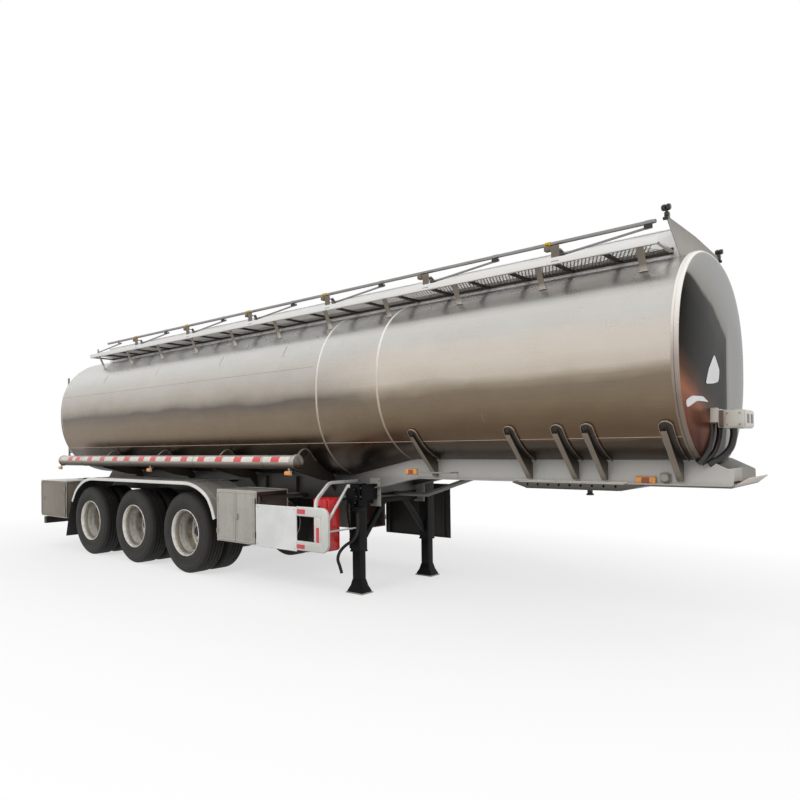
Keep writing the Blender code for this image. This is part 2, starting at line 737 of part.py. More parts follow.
def build_coupler():
    top = NECK_BOTTOM - SEAT
    low = top - COUPLER_DROP
    path = [(COUPLER_REAR, top), (COUPLER_REAR + 0.15, low), (COUPLER_FRONT - 0.20, low),
            (COUPLER_FRONT, top), (BEAM_FRONT, top)]
    under = [(x, z - COUPLER_PLATE) for x, z in path]
    sheet = plate(path + under[::-1], (-COUPLER_HALF_WIDTH, COUPLER_HALF_WIDTH))
    kick = [[(x, -half, z), (x, half, z), (x, half, z - COUPLER_PLATE), (x, -half, z - COUPLER_PLATE)]
            for x, half, z in ((BEAM_FRONT - 0.01, COUPLER_HALF_WIDTH, top),
                               (BEAM_FRONT, COUPLER_HALF_WIDTH, top),
                               (KICK_TIP, KICK_TIP_HALF_WIDTH, top + KICK_RISE))]
    pieces = [sheet, loft(kick)]
    for _, side in SIDES:
        for y in (COUPLER_HALF_WIDTH - 0.012, BEAM_Y - 0.02):
            rib = [(COUPLER_REAR + 0.01, top - 0.004), (COUPLER_REAR + 0.15, low - 0.004),
                   (COUPLER_FRONT - 0.20, low - 0.004), (COUPLER_FRONT - 0.01, top - 0.004),
                   (COUPLER_FRONT - 0.06, top), (COUPLER_REAR + 0.06, top)]
            pieces.append(plate(rib, sided((y, y + 0.012), side)))
    pieces.append(kingpin(low - COUPLER_PLATE))
    build("coupler_plate", pieces, BLACK_STEEL)


# Hose tubes

def hose_tube_solid(side, grow=0.0):
    y = side * HOSE_TUBE_Y
    sections = ((HOSE_TUBE_REAR, 0.088), (HOSE_TUBE_REAR + HOSE_CAP, 0.088),
                (HOSE_TUBE_REAR + HOSE_CAP, HOSE_TUBE_RADIUS), (HOSE_TUBE_FRONT, HOSE_TUBE_RADIUS),
                (HOSE_TUBE_FRONT, 0.092), (HOSE_TUBE_FRONT + HOSE_CAP, 0.092))
    profile = [(0, sections[0][0] - grow)] + [(r + grow, x) for x, r in sections]
    profile += [(0, sections[-1][0] + grow)]
    solid = turned(profile, 16)
    solid.data.transform(Matrix.Translation((0, y, HOSE_TUBE_Z)) @ Matrix.Rotation(math.pi / 2, 4, "Y"))
    return solid


def build_hose_tubes():
    for word, side in SIDES:
        finish("hose_tube_" + word, hose_tube_solid(side), BRUSHED)


# Axles, springs and wheels

def build_axles():
    for number in range(3):
        station = (1 - number) * AXLE_PITCH
        z = TYRE_RADIUS
        pieces = [rod((station, -0.55, z), (station, 0.55, z), AXLE_TUBE_RADIUS, 12),
                  rod((station, -TWIN_Y - 0.06, z), (station, TWIN_Y + 0.06, z), SPINDLE_RADIUS,
                      2 * WHEEL_STEPS)]
        for _, side in SIDES:
            span = sided((SPRING_Y - SPRING_WIDTH / 2, SPRING_Y + SPRING_WIDTH / 2), side)
            main = [(station + x * SPRING_HALF, SPRING_LOW_Z + rise) for x, rise in
                    ((-1, SPRING_END_Z - SPRING_LOW_Z), (-0.5, 0.02), (0, 0), (0.5, 0.02),
                     (1, SPRING_END_Z - SPRING_LOW_Z))]
            pieces.append(plate(band(main, SPRING_LEAF), span))
            lower = [(station - 0.34, SPRING_LOW_Z - 0.018), (station, SPRING_LOW_Z - 0.035),
                     (station + 0.34, SPRING_LOW_Z - 0.018)]
            pieces.append(plate(band(lower, 0.03), span))
            saddle = sided((SPRING_Y - 0.055, SPRING_Y + 0.055), side)
            pieces.append(block((station - 0.07, station + 0.07), saddle,
                                (z - 0.085, SPRING_LOW_Z + 0.05)))
            chamber = side * 0.30
            pieces.append(rod((station + 0.10, chamber, z), (station + 0.26, chamber, z), 0.085, 10))
            pieces.append(block((station, station + 0.12), (chamber - 0.03, chamber + 0.03),
                                (z - 0.04, z + 0.04)))
        build("axle_%d" % (number + 1), pieces, BLACK_STEEL)


def tyre_pair_profile():
    """Twin tyres on their rims, radius against distance from the twin centre."""
    half = TYRE_WIDTH / 2
    section = ((BEAD_RADIUS, RIM_HALF), (0.40, half), (0.50, half - 0.015), (TYRE_RADIUS, 0.085),
               (TYRE_RADIUS, -0.085), (0.50, 0.015 - half), (0.40, -half), (BEAD_RADIUS, -RIM_HALF))
    profile = [(RIM_BORE, TWIN_PITCH / 2 + RIM_HALF)]
    for centre in (TWIN_PITCH / 2, -TWIN_PITCH / 2):
        profile += [(r, centre + offset) for r, offset in section]
    return profile + [(RIM_BORE, -TWIN_PITCH / 2 - RIM_HALF)]


HUB_PROFILE = ((0, 0.125), (0.065, 0.12), (0.14, 0.05), (0.14, 0.012), (RIM_BORE - SEAT, 0.012),
               (RIM_BORE - SEAT, -0.012), (0.14, -0.012), (0.205, -0.13), (0.205, -0.31),
               (HUB_BORE, -0.31), (HUB_BORE, 0.065), (0, 0.065))


def build_wheels():
    for word, side in SIDES:
        turn = (-side * math.pi / 2, 0, 0)
        for number in range(3):
            centre = ((1 - number) * AXLE_PITCH, side * TWIN_Y, TYRE_RADIUS)
            for name, profile, material in (("twin_tyres", tyre_pair_profile(), RUBBER),
                                            ("hub", HUB_PROFILE, SILVER)):
                solid = turned(profile)
                label = "%s_%s_%d" % (name, word, number + 1)
                finish(label, solid, material, rotation=turn).location = centre


# Fenders

FENDER_OUTLINE = ((2.003, 0.775), (1.943, 0.934), (1.842, 1.073), (1.65, 1.178), (1.43, FENDER_TOP),
                  (-1.32, FENDER_TOP), (-1.56, 1.170), (-1.79, 1.024), (-1.915, 0.834))
FLAP_END = ((-2.02, 0.571), (-2.12, 0.235))


def build_fenders():
    path = [(x, z - FENDER_SHEET / 2) for x, z in FENDER_OUTLINE]
    end = Vector(path[-1])
    way = (end - Vector(path[-2])).normalized()
    for word, side in SIDES:
        pieces = [plate(band(path, FENDER_SHEET), sided((FENDER_INNER_Y, FENDER_OUTER_Y), side))]
        lip = [(x, z - FENDER_LIP / 2 + FENDER_SHEET / 2) for x, z in path[4:6]]
        lip = [(x * 0.99, z) for x, z in lip]
        pieces.append(plate(band(lip, FENDER_LIP), sided((FENDER_OUTER_Y - 0.004, FENDER_OUTER_Y), side)))
        for station in (-1.30, -0.655, 0.655, 1.42):
            pieces.append(block((station - 0.015, station + 0.015),
                                sided((BEAM_Y + WEB / 2 + SEAT, FENDER_OUTER_Y - 0.03), side),
                                (FENDER_TOP - 0.036, FENDER_TOP - 0.002)))
        build("fender_" + word, pieces, BRIGHT)
        start = end + way * SEAT
        flap = [tuple(start), tuple(start + way * 0.03)] + list(FLAP_END)
        build("mudflap_" + word, [plate(band(flap, FLAP_SHEET),
                                        sided((FENDER_INNER_Y, FENDER_OUTER_Y), side))], RUBBER)


# Toolboxes

def toolbox(name, size, side, arms):
    x0, x1, z0, z1 = size
    face = DOOR_OUTER_Y - DOOR_THICKNESS - SEAT
    shell = block((x0, x1), sided((face - BOX_DEPTH, face), side), (z0, z1))
    inside = block((x0 + BOX_WALL, x1 - BOX_WALL), sided((face - BOX_DEPTH + BOX_WALL, face - BOX_WALL), side),
                   (z0 + BOX_WALL, z1 - BOX_WALL))
    mouth = block((x0 + BOX_LIP, x1 - BOX_LIP), sided((face - 2 * BOX_WALL, face + 0.1), side),
                  (z0 + BOX_LIP, z1 - BOX_LIP))
    body = combine([shell], [inside, mouth])
    pieces = [body]
    for x in arms:
        pieces.append(block((x - 0.02, x + 0.02), sided((BEAM_Y + WEB / 2 + SEAT,
                            face - BOX_DEPTH + 0.002), side), (ARM_LOW, ARM_HIGH)))
    build(name, pieces, BOX_GREY)
    for cutter in (inside, mouth):
        bpy.data.objects.remove(cutter, do_unlink=True)


def box_door(name, x_range, z_range, side, hinge_at_front):
    x0, x1 = x_range
    hinge = x1 + HINGE_RADIUS / 2 if hinge_at_front else x0 - HINGE_RADIUS / 2
    leaf = block((x0, x1), sided((DOOR_OUTER_Y - DOOR_THICKNESS, DOOR_OUTER_Y), side), z_range)
    pieces = [leaf]
    height = z_range[1] - z_range[0]
    for share in (0.18, 0.82):
        z = z_range[0] + share * height
        pieces.append(rod((hinge, side * DOOR_OUTER_Y, z - 0.03), (hinge, side * DOOR_OUTER_Y, z + 0.03),
                          HINGE_RADIUS, 8))
    build(name, pieces, BOX_GREY, origin=(hinge, side * DOOR_OUTER_Y, z_range[0]))


def build_toolboxes():
    margin = 0.010
    for word, side in SIDES:
        x0, x1, z0, z1 = FRONT_BOX
        toolbox("front_toolbox_" + word, FRONT_BOX, side, (x0 + 0.1, x1 - 0.1))
        middle = (x0 + x1) / 2
        z_range = (z0 + margin, z1 - margin)
        box_door("front_toolbox_door_rear_" + word, (x0 + margin, middle - DOOR_GAP / 2), z_range, side, False)
        box_door("front_toolbox_door_front_" + word, (middle + DOOR_GAP / 2, x1 - margin), z_range, side, True)
        x0, x1, z0, z1 = REAR_BOX
        toolbox("rear_toolbox_" + word, REAR_BOX, side, (x0 + 0.1, x1 - 0.1))
        box_door("rear_toolbox_door_" + word, (x0 + margin, x1 - margin), (z0 + margin, z1 - margin),
                 side, True)


# Side guards and extinguisher box

def build_guards():
    outer = GUARD_OUTER_Y
    inner = outer - GUARD_FRAME_DEPTH
    x0, x1, z0, z1 = END_FRAME
    side = -1
    corner = 0.05
    frame = plate([(x0, z0), (x1 - corner, z0), (x1 - 0.3 * corner, z0 + 0.3 * corner), (x1, z0 + corner),
                   (x1, z1 - corner), (x1 - 0.3 * corner, z1 - 0.3 * corner), (x1 - corner, z1), (x0, z1)],
                  sided((inner, outer), side))
    wx0, wx1, wz0, wz1 = GUARD_WINDOW
    window = block((wx0, wx1), sided((inner - 0.1, outer + 0.1), side), (wz0, wz1))
    sx0, sx1, sz0, sz1 = SIGN_PANEL
    pieces = [combine([frame], [window]),
              block((sx0, x0 + 0.004), sided((outer - GUARD_SHEET, outer), side), (sz0, sz1)),
              block((sx0 + 0.02, sx0 + 0.06), sided((inner - 0.01, outer - 0.004), side), (sz0, ARM_HIGH)),
              block((sx0 + 0.02, sx0 + 0.06), sided((BEAM_Y + WEB / 2 + SEAT, outer - 0.02), side), (ARM_LOW, ARM_HIGH))]
    strut = [(3.79, side * (outer - 0.02), 0.99), (3.785, side * 1.205, 1.087), (3.70, side * 0.90, 1.262),
             (3.70, side * (BEAM_Y + WEB / 2 + SEAT), 1.262)]
    pieces.append(pipe(strut, 0.018))
    # Brace up to the landing leg's head, and a rod across to the leg
    rib_rear, leg_outer = LEG_STATION - LEG_RIB_X - 0.006 - SEAT, LEG_Y + LEG_HALF + SEAT
    pieces.append(rod((3.967, side * (outer - 0.02), 0.853), (3.80, side * 0.70, LEG_TOP - 0.025), 0.014, 6))
    pieces.append(block((3.79, rib_rear), sided((0.67, 0.71), side), (LEG_TOP - 0.045, LEG_TOP - 0.005)))
    pieces.append(rod((3.965, side * (outer - 0.02), 0.75), (3.965, side * leg_outer, 0.75), 0.010, 6))
    build("side_guard_right", pieces, OFF_WHITE)
    bpy.data.objects.remove(window, do_unlink=True)

    side = 1
    x0, x1, z0, z1 = LEFT_PANEL
    panel = block((x0, x1), sided((outer - GUARD_SHEET, outer), side), (z0, z1))
    pieces = [panel]
    for x in (x0 + 0.05, x1 - 0.12):
        pieces.append(block((x, x + 0.04), sided((inner, outer - 0.004), side), (z0, z1)))
    pieces.append(block((x0 + 0.05, x0 + 0.09), sided((BEAM_Y + WEB / 2 + SEAT, outer - 0.02), side),
                        (ARM_LOW, ARM_HIGH)))
    pieces.append(block((x1 - 0.30, x1 - 0.26), sided((BEAM_Y + WEB / 2 + SEAT, outer - 0.004), side),
                        (ARM_LOW, ARM_HIGH)))
    build("side_guard_left", pieces, OFF_WHITE)

    side = -1
    x0, x1, z0, z1 = EXTINGUISHER
    back = EXTINGUISHER_FACE_Y - EXTINGUISHER_DEPTH
    case = block((x0, x1), sided((back, EXTINGUISHER_FACE_Y), side), (z0, z1))
    bevel = case.modifiers.new("rounded", "BEVEL")
    bevel.width = 0.03
    bevel.segments = 2
    case_mesh = evaluated_mesh(case)
    bpy.data.objects.remove(case, do_unlink=True)
    arm = block((x0 + 0.06, x0 + 0.10), sided((BEAM_Y + WEB / 2 + SEAT, back + 0.01), side), (ARM_LOW - 0.01, ARM_HIGH - 0.02))
    build("extinguisher_box", [shaping_object(case_mesh), arm], RED_PLASTIC)


# Landing gear

def frustum(x, y, z, low_half, high_half):
    """Four-sided tapered block; the halves are (along X, along Y) at the low and the high end."""
    bm = bmesh.new()
    bmesh.ops.create_cube(bm, size=2)
    for vert in bm.verts:
        half = high_half if vert.co.z > 0 else low_half
        vert.co = Vector((x + vert.co.x * half[0], y + vert.co.y * half[1], z[1] if vert.co.z > 0 else z[0]))
    return from_bmesh(bm)


def build_landing_gear():
    x = LEG_STATION
    pieces = []
    for _, side in SIDES:
        y = side * LEG_Y
        pieces.append(block((x - LEG_HALF, x + LEG_HALF), (y - LEG_HALF, y + LEG_HALF),
                            (LEG_TUBE_BOTTOM, LEG_TOP)))
        pieces.append(block((x - LEG_INNER_HALF, x + LEG_INNER_HALF),
                            (y - LEG_INNER_HALF, y + LEG_INNER_HALF), (0.05, LEG_TUBE_BOTTOM + 0.01)))
        pieces.append(frustum(x, y, (0.010, 0.13), (0.11, 0.085), (0.060, 0.060)))
        pieces.append(block((x - FOOT_LENGTH / 2, x + FOOT_LENGTH / 2),
                            (y - FOOT_WIDTH / 2, y + FOOT_WIDTH / 2), (0, FOOT_PLATE)))
        near = BEAM_Y + WEB / 2 + SEAT
        pieces.append(block((x - 0.14, x + 0.24), sided((near, near + 0.012), side), (1.05, 1.29)))
        for rib in (x - LEG_RIB_X, x + LEG_RIB_X):
            pieces.append(block((rib - 0.006, rib + 0.006), sided((near + 0.01, LEG_Y + 0.04), side),
                                (1.06, 1.24)))
        pieces.append(block((x - 0.09, x + 0.09), sided((LEG_Y - LEG_HALF - 0.02, LEG_Y - LEG_HALF + 0.01), side),
                            (1.06, 1.24)))
        pieces.append(rod((x, side * (LEG_Y - 0.03), 0.62), (x, side * 0.26, 0.965), 0.02, 8))
    pieces.append(block((x - 0.03, x + 0.03), (-LEG_Y, LEG_Y), (0.94, 0.99)))
    gear = [(x - 0.09, 1.13), (x - 0.06, 1.19), (x, 1.21), (x + 0.05, 1.17), (x + 0.06, 1.08),
            (x + 0.03, 1.01), (x - 0.02, 1.0), (x - 0.06, 1.05)]
    pieces.append(plate(gear, (-LEG_Y - LEG_HALF - 0.06, -LEG_Y)))
    pieces.append(rod((x - 0.01, -LEG_Y - LEG_HALF - 0.11, 1.05), (x - 0.01, -LEG_Y, 1.05), 0.016, 8))
    # Outlet block that the drain hose hangs from
    pieces.append(block((3.99, 4.085), (-0.85, -0.72), (HOSE_ROUTE[0][2] + 0.0008, 0.995)))
    build("landing_gear", pieces, BLACK_STEEL)


# Coaming, walkways and handrail

def build_coaming():
    y = COAMING_Y
    pieces = []
    for _, side in SIDES:
        pieces.append(block((COAMING_REAR, WING_STATION), sided((y - COAMING_SHEET / 2,
                            y + COAMING_SHEET / 2), side), (TANK_TOP - 0.10, COAMING_TOP)))
    wing = [(-y - 0.01, TANK_TOP - 0.10), (-WING_Y, WING_TOP - 0.03), (-WING_Y, WING_TOP),
            (0, WING_TOP + 0.02), (WING_Y, WING_TOP), (WING_Y, WING_TOP - 0.03), (y + 0.01, TANK_TOP - 0.10)]
    pieces.append(plate(wing, (WING_STATION - COAMING_SHEET / 2, WING_STATION + COAMING_SHEET / 2), "YZ"))
    for station in (COAMING_REAR + 0.002, 1.15, 4.6):
        pieces.append(block((station - 0.002, station + 0.002), (-y, y), (TANK_TOP - 0.05, COAMING_TOP - 0.08)))
    for _, side in SIDES:
        pieces.append(block((WING_STATION - 0.02, WING_STATION + 0.02), sided((WING_Y - 0.04, WING_Y + 0.05), side),
                            (WING_TOP - 0.025, WING_TOP + 0.09)))
    build("top_coaming", pieces, BRIGHT, [TANK_CUT])


def stanchion_bases():
    return [STANCHION_FIRST - i * STANCHION_PITCH for i in range(STANCHION_COUNT)]


def bracket_foot_z(x):
    """Height of a handrail bracket's foot, lower where the toe board tapers."""
    share = min(1.0, (x - 0.03 - WALK_REAR) / WALK_TAPER)
    return TOE_BOTTOM + 0.02 + share * (TOE_TOP - TOE_BOTTOM - 0.02) - 0.045


def build_walkways():
    sheet = COAMING_SHEET
    for word, side in SIDES:
        outer = WALK_OUTER_Y
        inner = COAMING_Y + COAMING_SHEET / 2 + SEAT
        toe = [(WALK_REAR, TOE_BOTTOM), (WALK_FRONT, TOE_BOTTOM), (WALK_FRONT, TOE_TOP),
               (WALK_REAR + WALK_TAPER, TOE_TOP), (WALK_REAR, TOE_BOTTOM + 0.02)]
        pieces = [plate(toe, sided((outer, outer + sheet), side)),
                  block((WALK_REAR, WALK_FRONT), sided((inner, inner + 0.006), side),
                        (WALK_FLOOR - 0.03, WALK_FLOOR + 0.02)),
                  block((WALK_FRONT - sheet, WALK_FRONT), sided((inner + 0.001, outer + 0.001), side),
                        (WALK_FLOOR - 0.031, TOE_TOP - 0.001))]
        for share in (0.5,):
            y = inner + share * (outer - inner)
            pieces.append(block((WALK_REAR + 0.12, WALK_FRONT - 0.002), sided((y - 0.004, y + 0.004), side),
                                (WALK_FLOOR - 0.012, WALK_FLOOR)))
        for i in range(POST_COUNT):
            x = POST_FIRST - i * POST_PITCH
            pieces.append(block((x - 0.02, x + 0.02), sided((inner + 0.001, outer + 0.001), side),
                                (WALK_FLOOR - 0.026, WALK_FLOOR - 0.006)))
            pieces.append(block((x - 0.025, x + 0.025), sided((outer - 0.012, outer + 0.002), side),
                                (POST_FOOT, WALK_FLOOR + 0.05)))
        if side < 0:
            for x in stanchion_bases():
                low = bracket_foot_z(x)
                foot = sided((RAIL_Y - 0.018, outer + 0.002), side)
                pieces.append(block((x - 0.03, x + 0.03), foot, (low, low + 0.015)))
                cheek = sided((RAIL_Y - 0.018, RAIL_Y - 0.010), side)
                pieces.append(block((x - 0.03, x + 0.03), cheek, (low, STANCHION_BASE_Z + 0.012)))
                pieces.append(rod((x, side * (RAIL_Y - 0.014), STANCHION_BASE_Z),
                                  (x, side * (STANCHION_Y - 0.018), STANCHION_BASE_Z), RAIL_PIN_RADIUS, 8))
                if x > RAIL_REAR:
                    post = sided((RAIL_Y - 0.006, RAIL_Y + 0.006), side)
                    pieces.append(block((x - 0.10, x - 0.06), post, (TOE_TOP - 0.045,
                                        RAIL_Z - RAIL_RADIUS - SEAT)))
                    pieces.append(block((x - 0.10, x - 0.06), sided((RAIL_Y - 0.006, outer + 0.002), side),
                                        (TOE_TOP - 0.045, TOE_TOP - 0.030)))
        build("walkway_" + word, pieces, BRIGHT, [TANK_CUT])


def build_handrail():
    side = -1
    y = side * RAIL_Y
    pieces = [rod((RAIL_REAR, y, RAIL_Z), (RAIL_FRONT, y, RAIL_Z), RAIL_RADIUS, 8)]
    for x in stanchion_bases():
        joint = x + STANCHION_RUN
        pieces.append(block((joint - 0.02, joint + 0.02), sided((RAIL_Y - 0.006, RAIL_Y + 0.004), side),
                            (STANCHION_JOINT_Z - 0.012, RAIL_Z)))
        pieces.append(rod((joint, y, STANCHION_JOINT_Z), (joint, side * (STANCHION_Y - 0.018), STANCHION_JOINT_Z),
                          RAIL_PIN_RADIUS, 8))
    first = STANCHION_FIRST + STANCHION_RUN
    build("handrail", pieces, BRIGHT, origin=(first, side * STANCHION_Y, STANCHION_JOINT_Z))
    for number, x in enumerate(stanchion_bases(), 1):
        joint = x + STANCHION_RUN
        span = sided((STANCHION_Y - STANCHION_HALF, STANCHION_Y + STANCHION_HALF), side)
        rise = STANCHION_JOINT_Z - STANCHION_BASE_Z
        path = [(x - 0.018, STANCHION_BASE_Z - rise * 0.018 / STANCHION_RUN),
                (joint + 0.018, STANCHION_JOINT_Z + rise * 0.018 / STANCHION_RUN)]
        bar = plate(band(path, STANCHION_HEIGHT), span)
        holes = [rod((hx, side * 0.5, hz), (hx, side * 1.0, hz), RAIL_PIN_RADIUS + PIN_CLEARANCE, BORE_SIDES)
                 for hx, hz in ((x, STANCHION_BASE_Z), (joint, STANCHION_JOINT_Z))]
        build("stanchion_%d" % number, [bar], BRIGHT, holes, (x, side * STANCHION_Y, STANCHION_BASE_Z))
        for hole in holes:
            bpy.data.objects.remove(hole, do_unlink=True)


# Ends of the trailer

def build_rear_bumper():
    pieces = [block((REAR_END, REAR_END + 0.08), (-1.18, 1.18), (0.38, 0.50))]
    for _, side in SIDES:
        pieces.append(block((REAR_END + 0.02, REAR_END + 0.12), sided((0.36, 0.44), side),
                            (0.49, BEAM_BOTTOM - SEAT)))
    build("rear_bumper", pieces, FRAME_GREY)


def build_ladder():
    x = LADDER_STATION
    pieces = []
    for y in LADDER_RAILS:
        pieces.append(rod((x, y, TAIL_TOP + SEAT), (x, y, LADDER_TOP), 0.018, 8))
        for z in LADDER_ARMS:
            pieces.append(rod((x, y, z), (x + 0.55, y, z), 0.014, 6))
    for i in range(LADDER_RUNGS):
        z = TAIL_TOP + LADDER_FOOT_RISE + i * LADDER_RUNG_PITCH
        pieces.append(rod((x, LADDER_RAILS[0], z), (x, LADDER_RAILS[1], z), 0.013, 6))
    build("rear_ladder", pieces, BRIGHT, [TANK_CUT])


def build_connector_box():
    pieces = [block((7.45, 7.64), (-0.70, -0.15), (1.80, 1.90)),
              block((7.62, 7.80), (-0.42, -0.08), (1.78, 1.93))]
    build("connector_box", pieces, BRIGHT, [TANK_CUT])


HOSE_ROUTE = ((4.050, -0.82, 0.955), (4.052, -0.82, 0.88), (4.053, -0.82, 0.805), (4.037, -0.82, 0.703),
              (3.975, -0.82, 0.619), (3.852, -0.82, 0.540), (3.773, -0.82, 0.465), (3.741, -0.82, 0.381),
              (3.771, -0.82, 0.304), (3.801, -0.82, 0.227))
HOSE_RADIUS = 0.018


def smooth_route(route, spacing):
    """Points read at an even spacing from a Catmull-Rom curve through the route."""
    points = [Vector(p) for p in route]
    points = [2 * points[0] - points[1]] + points + [2 * points[-1] - points[-2]]
    fine = []
    for a, b, c, d in zip(points, points[1:], points[2:], points[3:]):
        for i in range(20):
            t = i / 20
            fine.append(0.5 * (2 * b + (c - a) * t + (2 * a - 5 * b + 4 * c - d) * t * t
                               + (3 * b - a - 3 * c + d) * t ** 3))
    fine.append(points[-2])
    length = sum((q - p).length for p, q in zip(fine, fine[1:]))
    count = max(2, round(length / spacing))
    out, walked, goal = [fine[0]], 0.0, length / count
    for p, q in zip(fine, fine[1:]):
        step = (q - p).length
        while walked + step >= goal * len(out) and len(out) < count:
            out.append(p.lerp(q, (goal * len(out) - walked) / step))
        walked += step
    return out + [fine[-1]]


def build_hose():
    route = smooth_route(HOSE_ROUTE, 0.06)
    hose = pipe([tuple(p) for p in route], HOSE_RADIUS)
    finish("drain_hose", hose, RUBBER)


build_tank()
build_manhole_lids()
build_main_beams()
build_crossmembers()
build_coupler()
build_hose_tubes()
build_axles()
build_wheels()
build_fenders()
build_toolboxes()
build_guards()
build_landing_gear()
build_coaming()
build_walkways()
build_handrail()
build_rear_bumper()
build_ladder()
build_connector_box()
build_hose()
bpy.data.objects.remove(TANK_CUT, do_unlink=True)
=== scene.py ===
import math
import bmesh
import bpy
import numpy as np
from mathutils import Matrix, Vector


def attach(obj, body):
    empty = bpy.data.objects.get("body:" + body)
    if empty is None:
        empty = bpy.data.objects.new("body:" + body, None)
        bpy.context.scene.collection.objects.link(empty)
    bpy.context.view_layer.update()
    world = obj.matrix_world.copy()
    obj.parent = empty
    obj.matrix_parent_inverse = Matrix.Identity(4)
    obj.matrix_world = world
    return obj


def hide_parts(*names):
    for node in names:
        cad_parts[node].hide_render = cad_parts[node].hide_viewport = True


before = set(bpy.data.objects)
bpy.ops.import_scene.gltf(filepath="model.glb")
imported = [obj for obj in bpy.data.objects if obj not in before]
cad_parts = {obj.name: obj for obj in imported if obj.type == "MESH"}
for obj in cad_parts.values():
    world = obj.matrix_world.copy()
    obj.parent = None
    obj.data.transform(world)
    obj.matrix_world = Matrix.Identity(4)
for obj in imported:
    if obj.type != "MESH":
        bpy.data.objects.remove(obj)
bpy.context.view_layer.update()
print("frame loaded with", len(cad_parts), "nodes")

# Distances along the trailer are stations from the middle axle; the frame's X is station - originStation
originStation = 2.345
sides = (("right", -1), ("left", 1))
# Stations of the manholes, hinges of their lids, outer face of the main beams, spacing of the axles
manholes = (6.0, 2.9, -0.6)
hinge = {"back": 0.35, "z": 3.383}
beamFace = 0.4253
axlePitch = 1.31

# ---- camera: solved from the photo, so its place and turn are measured values
photoCamera = {"place": (6.607, -6.390, 1.662), "yaw": 41.455, "pitch": 0.567, "roll": -0.699, "lens": 29.80,
    "shiftX": 0.0558, "shiftY": 0.0512}


def makeCamera(camera):
    data = bpy.data.cameras.new("photoCamera")
    data.lens, data.sensor_width = camera["lens"], 36
    data.shift_x, data.shift_y = camera["shiftX"], camera["shiftY"]
    data.clip_start, data.clip_end = 0.05, 400
    holder = bpy.data.objects.new("photoCamera", data)
    bpy.context.scene.collection.objects.link(holder)
    turn = (Matrix.Rotation(math.radians(camera["yaw"]), 4, "Z") @ Matrix.Rotation(math.radians(90 + camera["pitch"]),
        4, "X") @ Matrix.Rotation(math.radians(camera["roll"]), 4, "Z"))
    holder.matrix_world = Matrix.Translation(camera["place"]) @ turn
    bpy.context.scene.camera = holder


makeCamera(photoCamera)


# ---- surface kit: every part is points, face corners and face sizes, held as whole arrays

def unit(v):
    return v / np.maximum(np.linalg.norm(v, axis=-1, keepdims=True), 1e-12)


def patch(points, wrapU=False, wrapV=False, caps=False):
    # Grid of points (rows, columns, 3): quad (i, j) joins rows i, i+1 and columns j, j+1
    rows, cols = points.shape[:2]
    i, j = np.meshgrid(np.arange(rows - (not wrapU)), np.arange(cols - (not wrapV)), indexing="ij")
    i2, j2 = (i + 1) % rows, (j + 1) % cols
    quads = np.stack([i * cols + j, i * cols + j2, i2 * cols + j2, i2 * cols + j], -1).reshape(-1, 4)
    corners, sizes = [quads.ravel()], [np.full(len(quads), 4)]
    if caps:
        corners += [np.arange(cols)[::-1], (rows - 1) * cols + np.arange(cols)]
        sizes += [[cols], [cols]]
    return {"co": points.reshape(-1, 3), "corners": np.concatenate(corners), "sizes": np.concatenate(sizes)}


def rounded(corners, reach, steps=4, closed=False):
    # Polyline whose corners become quadratic arcs (1-t)^2 a + 2t(1-t) c + t^2 b, begun a reach away
    c = np.asarray(corners, float)
    before, after = np.roll(c, 1, 0) - c, np.roll(c, -1, 0) - c
    lengths = [np.linalg.norm(v, axis=1, keepdims=True) for v in (before, after)]
    reach = np.minimum(reach, 0.49 * np.minimum(*lengths))
    a, b = c + unit(before) * reach, c + unit(after) * reach
    t = np.linspace(0, 1, steps + 1)[None, :, None]
    arcs = (1 - t) ** 2 * a[:, None] + 2 * t * (1 - t) * c[:, None] + t ** 2 * b[:, None]
    if closed:
        return arcs.reshape(-1, c.shape[1])
    return np.concatenate([c[:1], arcs[1:-1].reshape(-1, c.shape[1]), c[-1:]])


def smoothPath(points, count):
    # Cubic through the points by their mean slopes, read at even spacing along its length
    p = np.asarray(points, float)
    s = np.linspace(0, len(p) - 1, 40 * len(p))
    k = np.minimum(s.astype(int), len(p) - 2)
    t = (s - k)[:, None]
    m = np.gradient(p, axis=0)
    fine = (2 * t ** 3 - 3 * t ** 2 + 1) * p[k] + (t ** 3 - 2 * t ** 2 + t) * m[k]
    fine = fine + (3 * t ** 2 - 2 * t ** 3) * p[k + 1] + (t ** 3 - t ** 2) * m[k + 1]
    run = np.concatenate([[0], np.cumsum(np.linalg.norm(np.diff(fine, axis=0), axis=1))])
    want = np.linspace(0, run[-1], count)
    return np.stack([np.interp(want, run, fine[:, i]) for i in range(p.shape[1])], 1)


def circle(radius, count=12):
    a = np.linspace(0, 2 * np.pi, count, endpoint=False)
    return radius * np.stack([np.cos(a), np.sin(a)], 1)


def oblong(width, height, edge=0.003, steps=2):
    # Rectangle about the origin with eased corners
    w, h = width / 2, height / 2
    return rounded([(-w, -h), (w, -h), (w, h), (-w, h)], edge, steps, closed=True)


def sweep(path, profile, up=(0, 0, 1), closed=False, scale=None):
    # Profile (a, b) carried along a path: point = path + a * side + b * rise, side = way x up
    path, profile = np.asarray(path, float), np.asarray(profile, float)
    if closed:
        way = np.roll(path, -1, 0) - np.roll(path, 1, 0)
    else:
        way = np.gradient(path, axis=0)
    side = unit(np.cross(unit(way), np.asarray(up, float)))
    rise = np.cross(side, unit(way))
    size = np.ones(len(path)) if scale is None else np.asarray(scale, float)
    points = path[:, None] + size[:, None, None] * (profile[None, :, :1] * side[:, None] + profile[None, :,
        1:] * rise[:, None])
    return patch(points, wrapU=closed, wrapV=True, caps=not closed)


